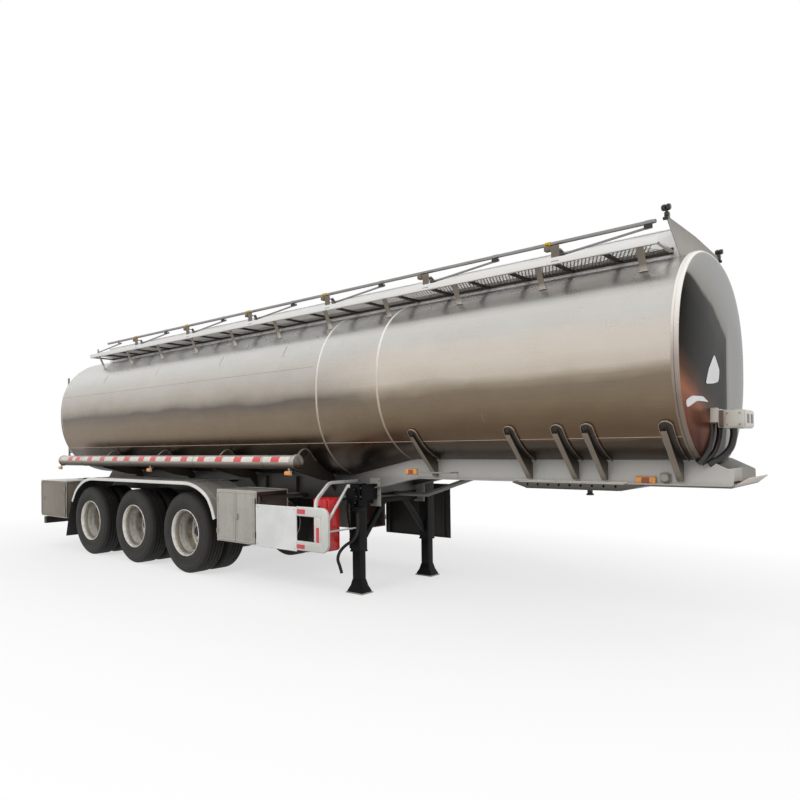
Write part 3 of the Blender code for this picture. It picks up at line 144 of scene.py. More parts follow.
def bar(a, b, radius, sides=12, ease=0.25):
    # Round bar between two points, its ends eased by a smaller last ring
    a, b = np.asarray(a, float), np.asarray(b, float)
    way = unit(b - a)
    step = way * radius * ease
    up = (1, 0, 0) if abs(way[2]) > 0.9 else (0, 0, 1)
    profile = circle(radius, sides) if np.isscalar(radius) else radius
    return sweep([a, a + step, b - step, b], profile, up, scale=[1 - ease, 1, 1, 1 - ease])


def beam(a, b, width, height, up=(0, 0, 1), edge=0.003):
    # Straight bar of rectangular section
    return sweep([a, b], oblong(width, height, edge), up)


def about(middle, half):
    # Both ends of a span given by its middle
    return middle - half, middle + half


def atY(flat, y):
    # Path of (x, z) points set at one distance across
    return np.insert(flat, 1, y, axis=1)


def border(x, z, y, inset, reach, steps=4):
    # Closed path with rounded corners, inset from the edges of an upright panel
    (x0, x1), (z0, z1) = (x[0] + inset, x[1] - inset), (z[0] + inset, z[1] - inset)
    return atY(rounded([(x0, z0), (x1, z0), (x1, z1), (x0, z1)], reach, steps, closed=True), y)


def slab(x, y, z, edge=0.003, steps=1):
    # Block with eased edges: a rounded rectangle carried up Z and drawn in at both ends
    low, high = np.minimum(*zip(x, y, z)), np.maximum(*zip(x, y, z))
    centre, half = (low + high) / 2, (high - low) / 2
    edge = min(edge, 0.45 * 2 * half.min())
    ring = oblong(2 * half[0], 2 * half[1], edge, steps + 1)
    turn = np.linspace(0, np.pi / 2, steps + 1)
    inset, depth = edge * (1 - np.sin(turn)), edge * (1 - np.cos(turn))
    inset = np.concatenate([inset, inset[::-1]])
    height = np.concatenate([low[2] + depth, high[2] - depth[::-1]])
    shrink = (half[:2] - inset[:, None]) / half[:2]
    flat = centre[:2] + ring[None] * shrink[:, None]
    points = np.concatenate([flat, np.broadcast_to(height[:, None, None], flat.shape[:2] + (1,))], 2)
    return patch(points, wrapV=True, caps=True)


def sheet(outline, span, plane="xz", edge=0.001):
    # Flat outline given a thickness, each edge chamfered by moving its corners inwards along their bisectors
    p = np.asarray(outline, float)
    before, after = unit(p - np.roll(p, 1, 0)), unit(np.roll(p, -1, 0) - p)
    area = np.sum(p[:, 0] * np.roll(p[:, 1], -1) - p[:, 1] * np.roll(p[:, 0], -1))
    inward = unit(np.stack([-(before + after)[:, 1], (before + after)[:, 0]], 1)) * np.sign(area)
    low, high = min(span), max(span)
    edge = min(edge, 0.4 * (high - low))
    depth, inset = np.array([low, low + edge, high - edge, high]), np.array([edge, 0, 0, edge])
    flat = p[None] + inward[None] * inset[:, None, None]
    third = np.broadcast_to(depth[:, None], flat.shape[:2])
    order = {"xz": (flat[..., 0], third, flat[..., 1]), "yz": (third, flat[..., 0], flat[..., 1]),
        "xy": (flat[..., 0], flat[..., 1], third)}[plane]
    return patch(np.stack(order, -1), wrapV=True, caps=True)


def turned(profile, centre=(0, 0, 0), axis="z", steps=32, loop=False, phase=0.0):
    # Profile of (radius, along) turned about an axis: point = centre + radius * (cos, sin) + along * axis
    p = np.asarray(profile, float)
    a = np.linspace(0, 2 * np.pi, steps, endpoint=False) + phase
    c, s = p[:, :1] * np.cos(a), p[:, :1] * np.sin(a)
    along = np.broadcast_to(p[:, 1:], c.shape)
    local = np.stack({"x": (along, c, s), "y": (c, along, s), "z": (c, s, along)}[axis], -1)
    made = patch(local + np.asarray(centre, float), wrapU=loop, wrapV=True)
    made["place"] = local.reshape(-1, 3)
    return made


def facing(profile, side, centre=(0, 0, 0), steps=32, loop=False):
    # Profile of (radius, outward) turned about Y, facing away from the trailer's middle
    return turned([(r, side * out) for r, out in profile], centre, "y", steps, loop)


def copies(part, points):
    # The part repeated at every point
    points = np.asarray(points, float).reshape(-1, 3)
    count = len(part["co"])
    shift = (np.arange(len(points)) * count)[:, None]
    made = dict(part, co=(part["co"][None] + points[:, None]).reshape(-1, 3),
        corners=(part["corners"][None] + shift).ravel(), sizes=np.tile(part["sizes"], len(points)))
    if "place" in part:
        made["place"] = np.tile(part["place"], (len(points), 1))
    return made


def bolts(points, normal, radius=0.011, height=0.008):
    # Washer and chamfered hexagon turned about Z, then laid on the surface's normal
    n = unit(np.asarray(normal, float))
    side = unit(np.cross(n, (0.3, 0.5, 0.8)))
    turn = np.stack([side, np.cross(n, side), n])
    made = []
    for steps, profile in ((10, ((0, 0.2), (1.35, 0.2), (1.35, -0.2), (0, -0.2))),
            (6, ((0, 1), (0.85, 1), (1, 0.85), (1, 0), (0, 0)))):
        part = turned([(r * radius, h * height) for r, h in profile], steps=steps)
        part["co"] = part["co"] @ turn
        part.pop("place")
        made.append(copies(part, points))
    return made


def slabs(*boxes):
    # One block for each set of slab values
    return [slab(*box) for box in boxes]


def layered(*groups):
    # Parts numbered by their group, which is their material's place in the piece's list
    return [dict(part, paint=index) for index, group in enumerate(groups) for part in group]


def putPiece(name, parts, materials, body="trailer", stands=(), angle=35):
    # One closed-shell mesh from all the parts, its origin at the frame's origin
    co = np.concatenate([p["co"] for p in parts]) - (originStation, 0, 0)
    starts = np.cumsum([0] + [len(p["co"]) for p in parts[:-1]])
    corners = np.concatenate([p["corners"] + s for p, s in zip(parts, starts)])
    sizes = np.concatenate([p["sizes"] for p in parts])
    mesh = bpy.data.meshes.new(name)
    mesh.vertices.add(len(co))
    mesh.vertices.foreach_set("co", co.astype(np.float32).ravel())
    mesh.loops.add(len(corners))
    mesh.loops.foreach_set("vertex_index", corners.astype(np.int32))
    mesh.polygons.add(len(sizes))
    mesh.polygons.foreach_set("loop_start", (np.cumsum(sizes) - sizes).astype(np.int32))
    paint = np.concatenate([np.full(len(p["sizes"]), p.get("paint", 0)) for p in parts])
    mesh.polygons.foreach_set("material_index", paint.astype(np.int32))
    mesh.update(calc_edges=True)
    if any("place" in p for p in parts):
        place = np.concatenate([p.get("place", p["co"]) for p in parts])
        mesh.attributes.new("place", "FLOAT_VECTOR", "POINT").data.foreach_set("vector",
            place.astype(np.float32).ravel())
    bm = bmesh.new()
    bm.from_mesh(mesh)
    bmesh.ops.remove_doubles(bm, verts=bm.verts, dist=0.000001)
    bmesh.ops.recalc_face_normals(bm, faces=bm.faces)
    bm.to_mesh(mesh)
    bm.free()
    mesh.shade_smooth()
    mesh.set_sharp_from_angle(angle=math.radians(angle))
    for material in materials if isinstance(materials, (list, tuple)) else [materials]:
        mesh.materials.append(material)
    piece = bpy.data.objects.new(name, mesh)
    bpy.context.scene.collection.objects.link(piece)
    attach(piece, body)
    if stands:
        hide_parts(*stands)
    return piece


# ---- material kit

def tone(r, g, b):
    # Colour written as 0-255 on screen, turned to the linear value that the shader takes
    c = np.array([r, g, b]) / 255
    linear = np.where(c <= 0.04045, c / 12.92, ((c + 0.055) / 1.055) ** 2.4)
    return (*[float(v) for v in linear], 1.0)


def node(tree, kind, links=None, **settings):
    made = tree.nodes.new("ShaderNode" + kind)
    for key, value in settings.items():
        setattr(made, key, value)
    for key, value in (links or {}).items():
        socket = made.inputs[key]
        if isinstance(value, bpy.types.NodeSocket):
            tree.links.new(value, socket)
        else:
            socket.default_value = value
    return made


def noise(tree, where, scale, stretch=(1, 1, 1), detail=4.0, rough=0.55):
    placed = node(tree, "Mapping", {"Vector": where, "Scale": stretch})
    return node(tree, "TexNoise", {"Vector": placed.outputs[0], "Scale": scale, "Detail": detail,
        "Roughness": rough}).outputs["Fac"]


def ranged(tree, value, low, high, toLow=0.0, toHigh=1.0):
    return node(tree, "MapRange", {"Value": value, "From Min": low, "From Max": high, "To Min": toLow,
        "To Max": toHigh}).outputs[0]


def blended(tree, share, a, b, mode="MIX"):
    made = node(tree, "Mix", {0: share, 6: a, 7: b}, data_type="RGBA", blend_type=mode)
    return made.outputs[2]


def maths(tree, operation, a, b=0.5):
    return node(tree, "Math", {0: a, 1: b}, operation=operation).outputs[0]


def ramp(tree, value, stops):
    made = node(tree, "ValToRGB", {"Fac": value})
    elements = made.color_ramp.elements
    while len(elements) < len(stops):
        elements.new(0.5)
    for element, (position, _) in zip(elements, stops):
        element.position = position
    for element, (_, colour) in zip(elements, stops):
        element.color = colour
    return made.outputs[0]


def toneRamp(tree, value, stops):
    # Ramp of screen tones over a measure, given as (measure, tone) pairs
    low, high = stops[0][0], stops[-1][0]
    return ramp(tree, ranged(tree, value, low, high), [((h - low) / (high - low), tone(*c)) for h, c in stops])


def softened(tree, share, colours, value, low, high):
    # Colours varied by a noise in soft light
    return blended(tree, share, colours, ranged(tree, value, 0.3, 0.7, low, high), "SOFT_LIGHT")


def startMaterial(name, metallic=0.0, roughness=0.5, coat=0.0, where="Object"):
    material = bpy.data.materials.new(name)
    material.use_nodes = True
    tree = material.node_tree
    shader = tree.nodes["Principled BSDF"]
    shader.inputs["Metallic"].default_value = metallic
    shader.inputs["Roughness"].default_value = roughness
    shader.inputs["Coat Weight"].default_value = coat
    if where == "Object":
        place = node(tree, "TexCoord").outputs["Object"]
    else:
        place = node(tree, "Attribute", attribute_name=where).outputs["Vector"]
    return material, tree, shader, place


def dress(tree, shader, colours, rough, height, strength, distance=0.002):
    bump = node(tree, "Bump", {"Height": height, "Strength": strength, "Distance": distance})
    for made, socket in ((colours, "Base Color"), (rough, "Roughness"), (bump.outputs[0], "Normal")):
        tree.links.new(made, shader.inputs[socket])


def finish(name, colour, dirt=None, metallic=0.0, roughness=0.45, spread=0.12, coat=0.0, cloud=2.2, dirtShare=0.35,
        streaks=0.0, grain=260.0, grainDepth=0.12, variation=0.08, where="Object"):
    # Paint or metal: slow clouds of tone, dirt run down in streaks, grain in the bump and the roughness
    material, tree, shader, place = startMaterial(name, metallic, roughness, coat, where)
    base = tone(*colour)
    shade = tuple(v * (1 - variation) for v in base[:3]) + (1,)
    light = tuple(min(1, v * (1 + variation)) for v in base[:3]) + (1,)
    clouds = noise(tree, place, cloud, detail=5)
    colours = blended(tree, ranged(tree, clouds, 0.35, 0.65), shade, light)
    if dirt:
        spots = noise(tree, place, cloud * 4.5, detail=8, rough=0.7)
        share = ranged(tree, spots, 0.5, 0.78, 0, dirtShare)
        colours = blended(tree, share, colours, tone(*dirt))
    if dirt and streaks:
        runs = noise(tree, place, 9, (3.2, 3.2, 0.22), detail=6)
        colours = blended(tree, ranged(tree, runs, 0.52, 0.75, 0, streaks), colours, tone(*dirt))
    fine = noise(tree, place, grain, detail=2)
    rough = maths(tree, "ADD", ranged(tree, clouds, 0.3, 0.7, roughness - spread / 2, roughness + spread / 2),
        ranged(tree, fine, 0.3, 0.7, -0.03, 0.03))
    dress(tree, shader, colours, rough, fine, grainDepth)
    return material


# Tank metal: colour by height, a painted reflection of sky, horizon and yard on the polished flank
tankReflectionTones = {"front": ((1.27, (50, 41, 33)), (1.50, (64, 53, 44)), (1.64, (60, 50, 38)), (1.71, (66, 54, 42)),
    (1.722, (90, 73, 56)), (1.80, (92, 74, 57)), (1.90, (102, 86, 68)), (2.02, (119, 103, 84)),
    (2.16, (124, 111, 96)), (2.235, (150, 138, 122)), (2.31, (192, 181, 167)), (2.46, (205, 195, 183)),
    (2.60, (203, 195, 185)), (2.72, (197, 195, 190)), (2.88, (203, 200, 196)), (2.97, (178, 176, 171)),
    (3.05, (168, 165, 160)), (3.13, (190, 184, 180)), (3.20, (184, 180, 178)), (3.29, (190, 187, 184))),
    "rear": ((1.27, (38, 33, 29)), (1.45, (56, 49, 42)), (1.62, (66, 56, 47)), (1.71, (78, 66, 54)),
    (1.722, (106, 90, 74)), (1.80, (111, 95, 79)), (1.90, (121, 106, 88)), (2.05, (122, 109, 94)),
    (2.15, (112, 101, 90)), (2.205, (101, 95, 90)), (2.27, (140, 132, 122)), (2.35, (164, 156, 146)),
    (2.46, (177, 171, 163)), (2.60, (188, 183, 176)), (2.75, (198, 195, 190)), (2.90, (206, 205, 201)),
    (3.00, (206, 205, 201)), (3.09, (198, 197, 195)), (3.20, (190, 188, 186)), (3.29, (192, 190, 188))),}


def tankMaterial(name):
    # Painted reflection as a height ramp per barrel, waved a little along X, under brushed streaks, handling marks
    # and a soft bump
    material, tree, shader, place = startMaterial(name, metallic=0.9, roughness=0.3)
    split = node(tree, "SeparateXYZ", {"Vector": place})
    x, z = split.outputs[0], split.outputs[2]
    slow = noise(tree, place, 1.0, (0.9, 0.9, 2.2), detail=3)
    waved = maths(tree, "ADD", z, ranged(tree, slow, 0.3, 0.7, -0.035, 0.035))
    ramps = [toneRamp(tree, waved, tankReflectionTones[k]) for k in ("rear", "front")]
    colours = blended(tree, ranged(tree, x, 1.32, 2.26), *ramps)
    brush = noise(tree, place, 14, (0.12, 6, 14), detail=6, rough=0.7)
    colours = softened(tree, 0.20, colours, brush, 0.55, 1.0)
    cloudy = noise(tree, place, 2.6, (1, 1, 1.3), detail=8, rough=0.62)
    colours = softened(tree, 0.35, colours, cloudy, 0.34, 0.66)
    marks = noise(tree, place, 5, (0.9, 2, 9), detail=12, rough=0.8)
    colours = blended(tree, ranged(tree, marks, 0.66, 0.72, 0, 0.35), colours, tone(214, 208, 198))
    dress(tree, shader, colours, ranged(tree, cloudy, 0.3, 0.7, 0.24, 0.36), brush, 0.05, 0.001)
    return material


# Head metal: tone along z + 0.45 y, or along y beyond the middle, a painted reflection of a tilted horizon and a
# reddish glow on the dish
headReflectionTones = ((0.90, (70, 50, 38)), (1.35, (88, 52, 42)), (1.50, (124, 78, 62)), (1.62, (156, 102, 80)),
    (1.76, (88, 64, 52)), (1.92, (42, 38, 32)), (2.15, (28, 27, 24)), (2.40, (26, 25, 22)), (2.50, (44, 42, 36)),
    (2.62, (54, 52, 45)), (2.67, (160, 157, 149)), (2.80, (176, 174, 169)), (3.00, (186, 186, 185)),
    (3.40, (198, 198, 196)))


def headMaterial(name, tones=headReflectionTones, edge=0.42):
    material, tree, shader, place = startMaterial(name, metallic=0.75, roughness=0.28)
    shader.inputs["Specular Tint"].default_value = (edge, edge, edge, 1)
    split = node(tree, "SeparateXYZ", {"Vector": place})
    across, z = split.outputs[1], split.outputs[2]
    slow = noise(tree, place, 1.1, (1, 1, 0.8), detail=4)
    line = maths(tree, "ADD", z, maths(tree, "MULTIPLY", across, 0.45))
    beyond = maths(tree, "ADD", maths(tree, "MULTIPLY", across, 2.4), 2.32)
    line = maths(tree, "MAXIMUM", line, maths(tree, "MINIMUM", beyond, 2.9))
    line = maths(tree, "ADD", line, ranged(tree, slow, 0.3, 0.7, -0.05, 0.05))
    colours = toneRamp(tree, line, tones)
    brush = noise(tree, place, 12, (1, 9, 0.3), detail=6, rough=0.7)
    colours = softened(tree, 0.2, colours, brush, 0.4, 0.7)
    marks = noise(tree, place, 6, (1, 4, 0.8), detail=10, rough=0.75)
    colours = blended(tree, ranged(tree, marks, 0.66, 0.74, 0, 0.22), colours, tone(186, 178, 166))
    dress(tree, shader, colours, ranged(tree, slow, 0.3, 0.7, 0.24, 0.36), brush, 0.04, 0.001)
    return material


def heightFinish(name, stops, metallic=0.3, roughness=0.45, cloudShare=0.3, shadeAlongX=None):
    # Metal or paint with painted light and shade: its tone changes with height, as parts lit from above or mirroring
    # sky and yard do, with clouds and grain
    material, tree, shader, place = startMaterial(name, metallic, roughness)
    split = node(tree, "SeparateXYZ", {"Vector": place})
    colours = toneRamp(tree, split.outputs[2], stops)
    if shadeAlongX:  # painted shadow that thins out along X, from dark over the wheels to none at the front
        colours = blended(tree, ranged(tree, split.outputs[0], *shadeAlongX, 0.88, 0), colours, tone(26, 23, 20))
    clouds = noise(tree, place, 3, detail=7, rough=0.65)
    colours = softened(tree, cloudShare, colours, clouds, 0.3, 0.7)
    rough = ranged(tree, clouds, 0.3, 0.7, roughness - 0.08, roughness + 0.08)
    dress(tree, shader, colours, rough, noise(tree, place, 180, detail=3), 0.1)
    return material


def tyreMaterial(name):
    # Rubber: radius and side distance come from the place attribute; dusty tread, groove floor painted blacker as
    # shade in the grooves, grey flank
    material, tree, shader, place = startMaterial(name, roughness=0.78, where="place")
    flat = node(tree, "VectorMath", {0: place, 1: (1, 0, 1)}, operation="MULTIPLY").outputs[0]
    radius = node(tree, "VectorMath", {0: flat}, operation="LENGTH").outputs["Value"]
    dust = noise(tree, place, 5, detail=8, rough=0.65)
    side = ramp(tree, ranged(tree, radius, 0.30, 0.545), [(0.0, tone(30, 29, 28)), (0.18, tone(46, 45, 43)),
        (0.3, tone(38, 37, 35)), (0.62, tone(50, 49, 46)), (0.85, tone(40, 39, 37)), (0.93, tone(16, 15, 15)),
        (1.0, tone(30, 28, 26))])
    colours = blended(tree, ranged(tree, dust, 0.5, 0.85, 0, 0.3), side, tone(74, 69, 62))
    rings = maths(tree, "SINE", maths(tree, "MULTIPLY", radius, 900), 0.0)
    height = maths(tree, "ADD", rings, noise(tree, place, 160))
    dress(tree, shader, colours, ranged(tree, dust, 0.3, 0.7, 0.68, 0.86), height, 0.18, 0.0012)
    return material


tankMetal = tankMaterial("brushedTankMetal")
headMetal = headMaterial("polishedHeadMetal")
# Rear head, weld beads, seams and the head's ring: tones by height, a painted reflection, light above and dark below
rearHeadMetal = heightFinish("rearHeadMetal", ((1.27, (74, 64, 54)), (1.75, (112, 98, 84)), (2.05, (120, 108, 95)),
    (2.2, (104, 97, 90)), (2.4, (158, 150, 141)), (2.8, (186, 183, 178)), (3.1, (168, 164, 159)),
    (3.3, (184, 180, 176))), 0.85, 0.3, 0.35)
weldMetal = heightFinish("weldBead", ((1.27, (66, 52, 42)), (1.7, (150, 134, 118)), (2.2, (206, 194, 180)),
    (2.8, (246, 243, 238)), (3.3, (244, 241, 236))), 0.2, 0.35)
seamMetal = heightFinish("seamBead", ((1.27, (70, 56, 44)), (1.69, (176, 156, 136)), (2.4, (182, 173, 162)),
    (3.3, (180, 174, 166))), 0.6, 0.38)
ringMetal = heightFinish("headRingMetal", ((1.44, (58, 48, 39)), (1.7, (134, 119, 105)), (2.0, (140, 124, 110)),
    (2.3, (172, 160, 150)), (2.55, (222, 214, 206)), (2.8, (242, 238, 232)), (3.3, (247, 244, 239))), 0.25, 0.32)
coamingMetal = finish("coamingSheet", (248, 248, 246), (200, 196, 189), 0.1, 0.4, dirtShare=0.25, grain=120)
wingMetal = heightFinish("wingSheet", ((3.15, (160, 154, 146)), (3.35, (148, 142, 134)), (3.5, (128, 122, 116))), 0.5,
    0.4)
railMetal = finish("railTube", (150, 148, 146), (100, 96, 90), 0.8, 0.32, dirtShare=0.4)
meshMetal = finish("walkMesh", (206, 203, 198), (140, 133, 122), 0.35, 0.45)
fenderMetal = finish("fenderSheet", (206, 202, 196), (128, 116, 100), 0.55, 0.34, dirtShare=0.45, cloud=3)
trimWhite = finish("edgeTrim", (243, 242, 237), (196, 190, 178), 0, 0.42, dirtShare=0.3)
# Frame paint: darker towards the bottom as painted shade, with a painted shadow over the wheels that fades out
# towards the front
framePaint = heightFinish("framePaint", ((0.35, (96, 94, 90)), (1.0, (120, 117, 112)), (1.1, (150, 147, 142)),
    (1.30, (178, 176, 172)), (1.36, (204, 202, 197)), (1.5, (208, 206, 202))), 0.05, 0.42, shadeAlongX=(1.25, 2.1))
gussetPaint = heightFinish("bracketMetal", ((1.30, (158, 149, 136)), (1.42, (150, 140, 126)), (1.6, (134, 121, 107)),
    (1.85, (156, 143, 128))), 0.3, 0.42)
# Bracket insides: painted shade, darkest under the tank's belly; bracket lips: a painted highlight brightening
# towards their tops
bracketShade = heightFinish("bracketInsideShade", ((1.34, (124, 120, 112)), (1.42, (104, 98, 90)), (1.50, (60, 52, 44)),
    (1.60, (40, 33, 27)), (1.85, (58, 48, 38))), 0.2, 0.5)
bracketLip = heightFinish("bracketLip", ((1.5, (120, 104, 92)), (1.65, (158, 140, 124)), (1.86, (204, 188, 172))),
    0.4, 0.36)
stayPaint = finish("stayPaint", (54, 46, 38), (30, 26, 22), 0.1, 0.5)
boxPaint = finish("toolboxPaint", (182, 179, 170), (128, 118, 104), 0.1, 0.4, dirtShare=0.3, streaks=0.1, cloud=3)
boxTrim = finish("toolboxTrim", (208, 205, 196), (140, 130, 116), 0.25, 0.36, dirtShare=0.4)
blackPaint = finish("blackSteel", (24, 23, 22), (70, 64, 56), 0.0, 0.42, spread=0.2, dirtShare=0.28, streaks=0.12,
    coat=0.25)
axlePaint = finish("axleSteel", (26, 25, 24), (58, 52, 44), 0.1, 0.6, dirtShare=0.5)
plateGrey = finish("bracketPlate", (172, 169, 162), (118, 111, 102), 0.15, 0.45, dirtShare=0.3)
couplerSteel = heightFinish("couplerSteel", ((1.23, (52, 48, 44)), (1.31, (96, 92, 86)), (1.325, (196, 178, 164)),
    (1.345, (216, 202, 188)), (1.42, (220, 206, 194))), 0.2, 0.4)
legPaint = finish("legPaint", (6, 6, 6), (30, 27, 24), 0.0, 0.55, dirtShare=0.15)
legPaint.node_tree.nodes["Principled BSDF"].inputs["Specular IOR Level"].default_value = 0.18
channelPaint = finish("channelPaint", (222, 219, 212), (160, 152, 140), 0.1, 0.4, dirtShare=0.25)
underPaint = finish("underside", (20, 19, 18), (44, 39, 34), 0.0, 0.7, dirtShare=0.3)
# Front end panel of the front toolbox: dark brown as painted shade
boxEndShade = finish("boxEndShade", (74, 54, 44), (46, 34, 28), 0.2, 0.35, dirtShare=0.4, cloud=4)
boxRear = finish("rearBoxPaint", (136, 127, 114), (92, 82, 70), 0.15, 0.42, dirtShare=0.4, streaks=0.28, cloud=3)
boardWhite = heightFinish("boardWhite", ((3.25, (214, 210, 204)), (3.275, (242, 241, 238)), (3.32, (248, 247, 245))),
    0.1, 0.4)
deckBrown = heightFinish("deckBrown", ((3.05, (126, 116, 104)), (3.24, (112, 101, 90)), (3.262, (60, 52, 44)),
    (3.33, (76, 68, 58))), 0.2, 0.5)
postMetal = heightFinish("postMetal", ((3.04, (214, 208, 200)), (3.10, (196, 188, 178)), (3.13, (138, 128, 116)),
    (3.26, (124, 114, 102)), (3.36, (112, 103, 92)), (3.45, (126, 116, 104))), 0.3, 0.42)
wheelSilver = finish("wheelSilver", (226, 223, 217), (104, 92, 76), 0.35, 0.28, dirtShare=0.62, cloud=3,
    variation=0.14, where="place")
# Rim well: a darker copy of the wheel silver, painted shade deep in the wheel, with real dirt over it
rimWellShade = finish("rimWellShade", (168, 160, 148), (70, 60, 48), 0.5, 0.34, dirtShare=0.6, cloud=3, where="place")
hubBlack = finish("hubCap", (34, 33, 32), (84, 76, 66), 0.2, 0.45, where="place")
guardPaint = finish("guardPaint", (226, 227, 222), (170, 166, 154), 0.0, 0.34, dirtShare=0.3, streaks=0.15, coat=0.2)
signPaint = finish("signPanel", (244, 245, 244), (206, 204, 198), 0.0, 0.38, dirtShare=0.2)
panelPaint = finish("sidePanel", (44, 42, 38), (70, 62, 52), 0.1, 0.5, streaks=0.2)
reflectorRed = finish("reflectorRed", (222, 56, 62), (150, 30, 36), 0.0, 0.22, coat=0.6, grain=420, grainDepth=0.3)
reflectorWhite = finish("reflectorWhite", (226, 222, 214), (170, 160, 148), 0.0, 0.28, coat=0.4, grain=420,
    grainDepth=0.3)
extinguisherRed = finish("extinguisherRed", (222, 42, 46), (150, 26, 28), 0.0, 0.34, coat=0.3, dirtShare=0.3)
amberLens = finish("amberLens", (250, 160, 48), (190, 96, 20), 0.0, 0.16, coat=0.8, grain=300, grainDepth=0.4)
amberDark = finish("amberReflector", (150, 62, 22), (90, 30, 12), 0.0, 0.2, coat=0.6, grain=300, grainDepth=0.4)
redLens = finish("redLens", (176, 22, 24), (96, 8, 10), 0.0, 0.16, coat=0.8, grain=300, grainDepth=0.4)
knobYellow = finish("knobYellow", (214, 176, 44), (150, 116, 30), 0.0, 0.4)
rubberBlack = finish("rubberBlack", (30, 29, 28), (72, 66, 58), 0.0, 0.72, dirtShare=0.35, grain=140, grainDepth=0.35)
boltSteel = finish("boltSteel", (150, 146, 140), (84, 72, 60), 0.85, 0.35)
filmWhite = finish("tornFilm", (238, 238, 240), (196, 194, 196), 0.0, 0.5)
# Hose tube metal: painted shading, dark under the tube and light over its top
tubeMetal = heightFinish("hoseTubeMetal", ((1.41, (46, 39, 32)), (1.46, (74, 64, 54)), (1.49, (150, 140, 128)),
    (1.52, (184, 178, 170)), (1.59, (196, 192, 186))), 0.6, 0.36)
tyreRubber = tyreMaterial("tyreRubber")
print("materials made:", len(bpy.data.materials))


# ---- drain hose: a free rubber hose hanging from the outlet by the landing leg
drainHose = {"diameter": 0.036, "route": ((4.050, 0.955), (4.052, 0.88), (4.053, 0.805), (4.037, 0.703),
    (3.975, 0.619), (3.852, 0.540), (3.773, 0.465), (3.741, 0.381), (3.771, 0.304), (3.801, 0.227)), "y": -0.82}


def makeHose(hose):
    # Circle carried along the smoothed route
    route = np.array([(x, hose["y"], z) for x, z in hose["route"]])
    path = smoothPath(route, 60)
    body = sweep(path, circle(hose["diameter"] / 2, 20), up=(0, 1, 0))
    piece = putPiece("drainHose", [body], rubberBlack, stands=("drain_hose",))


makeHose(drainHose)


# ---- tank
tank = {"halfWidth": 1.06, "top": 3.287, "rearBottom": 1.276, "frontBottom": 1.470, "power": 2.28, "rear": -2.66,
    "coneRear": 3.66, "coneFront": 4.55, "front": 7.435, "ringRise": 0.014, "ringLength": 0.045, "frontDish": 0.07,
    "rearDish": 0.30, "weldHalf": 0.014, "weldRise": 0.006, "seams": (1.717, 2.595), "around": 192}


def tankSection(station, grow):
    # Middle height and half height of the section, whose bottom rises through the cone
    share = np.clip((station - tank["coneRear"]) / (tank["coneFront"] - tank["coneRear"]), 0, 1)
    bottom = tank["rearBottom"] + share * (tank["frontBottom"] - tank["rearBottom"])
    return (tank["top"] + bottom) / 2, (tank["top"] - bottom) / 2 + grow


def tankPoints(station, angle, grow=0.0, scale=1.0):
    # Superellipse: y = W |cos|^(2/p), z = middle + H |sin|^(2/p)
    middle, half = tankSection(station, grow)
    c, s, power = np.cos(angle), np.sin(angle), 2 / tank["power"]
    y = (tank["halfWidth"] + grow) * scale * np.sign(c) * np.abs(c) ** power
    z = middle + half * scale * np.sign(s) * np.abs(s) ** power
    return np.stack(np.broadcast_arrays(station, y, z), -1)


def tankSideY(station, z, grow=0.0):
    # Flank at a height: y = W (1 - (|z - middle| / H)^p)^(1/p)
    middle, half = tankSection(station, grow)
    return (tank["halfWidth"] + grow) * (1 - (np.abs(z - middle) / half) ** tank["power"]) ** (1 / tank["power"])


def tankUnderZ(station, y, grow=0.0, upper=False):
    # Underside or top at a distance across: z = middle -+ H (1 - (|y| / W)^p)^(1/p)
    middle, half = tankSection(station, grow)
    drop = half * (1 - (np.abs(y) / (tank["halfWidth"] + grow)) ** tank["power"]) ** (1 / tank["power"])
    return middle + (drop if upper else -drop)


tankAngles = np.linspace(0, 2 * np.pi, tank["around"], endpoint=False)[None, :]


def tankBand(profile):
    # Closed (station, grow) profile carried round the tank's section
    p = np.asarray(profile, float)
    return patch(tankPoints(p[:, :1], tankAngles, p[:, 1:]), wrapU=True, wrapV=True)


def halfRound(station, half, rise, steps=6):
    # Weld bead: half an ellipse of the given half width and rise, sunk a little at its feet
    t = np.linspace(0, np.pi, steps + 1)
    bead = np.stack([station - half * np.cos(t), rise * np.sin(t)], 1)
    return np.concatenate([bead, [(station + half, -0.006), (station - half, -0.006)]])


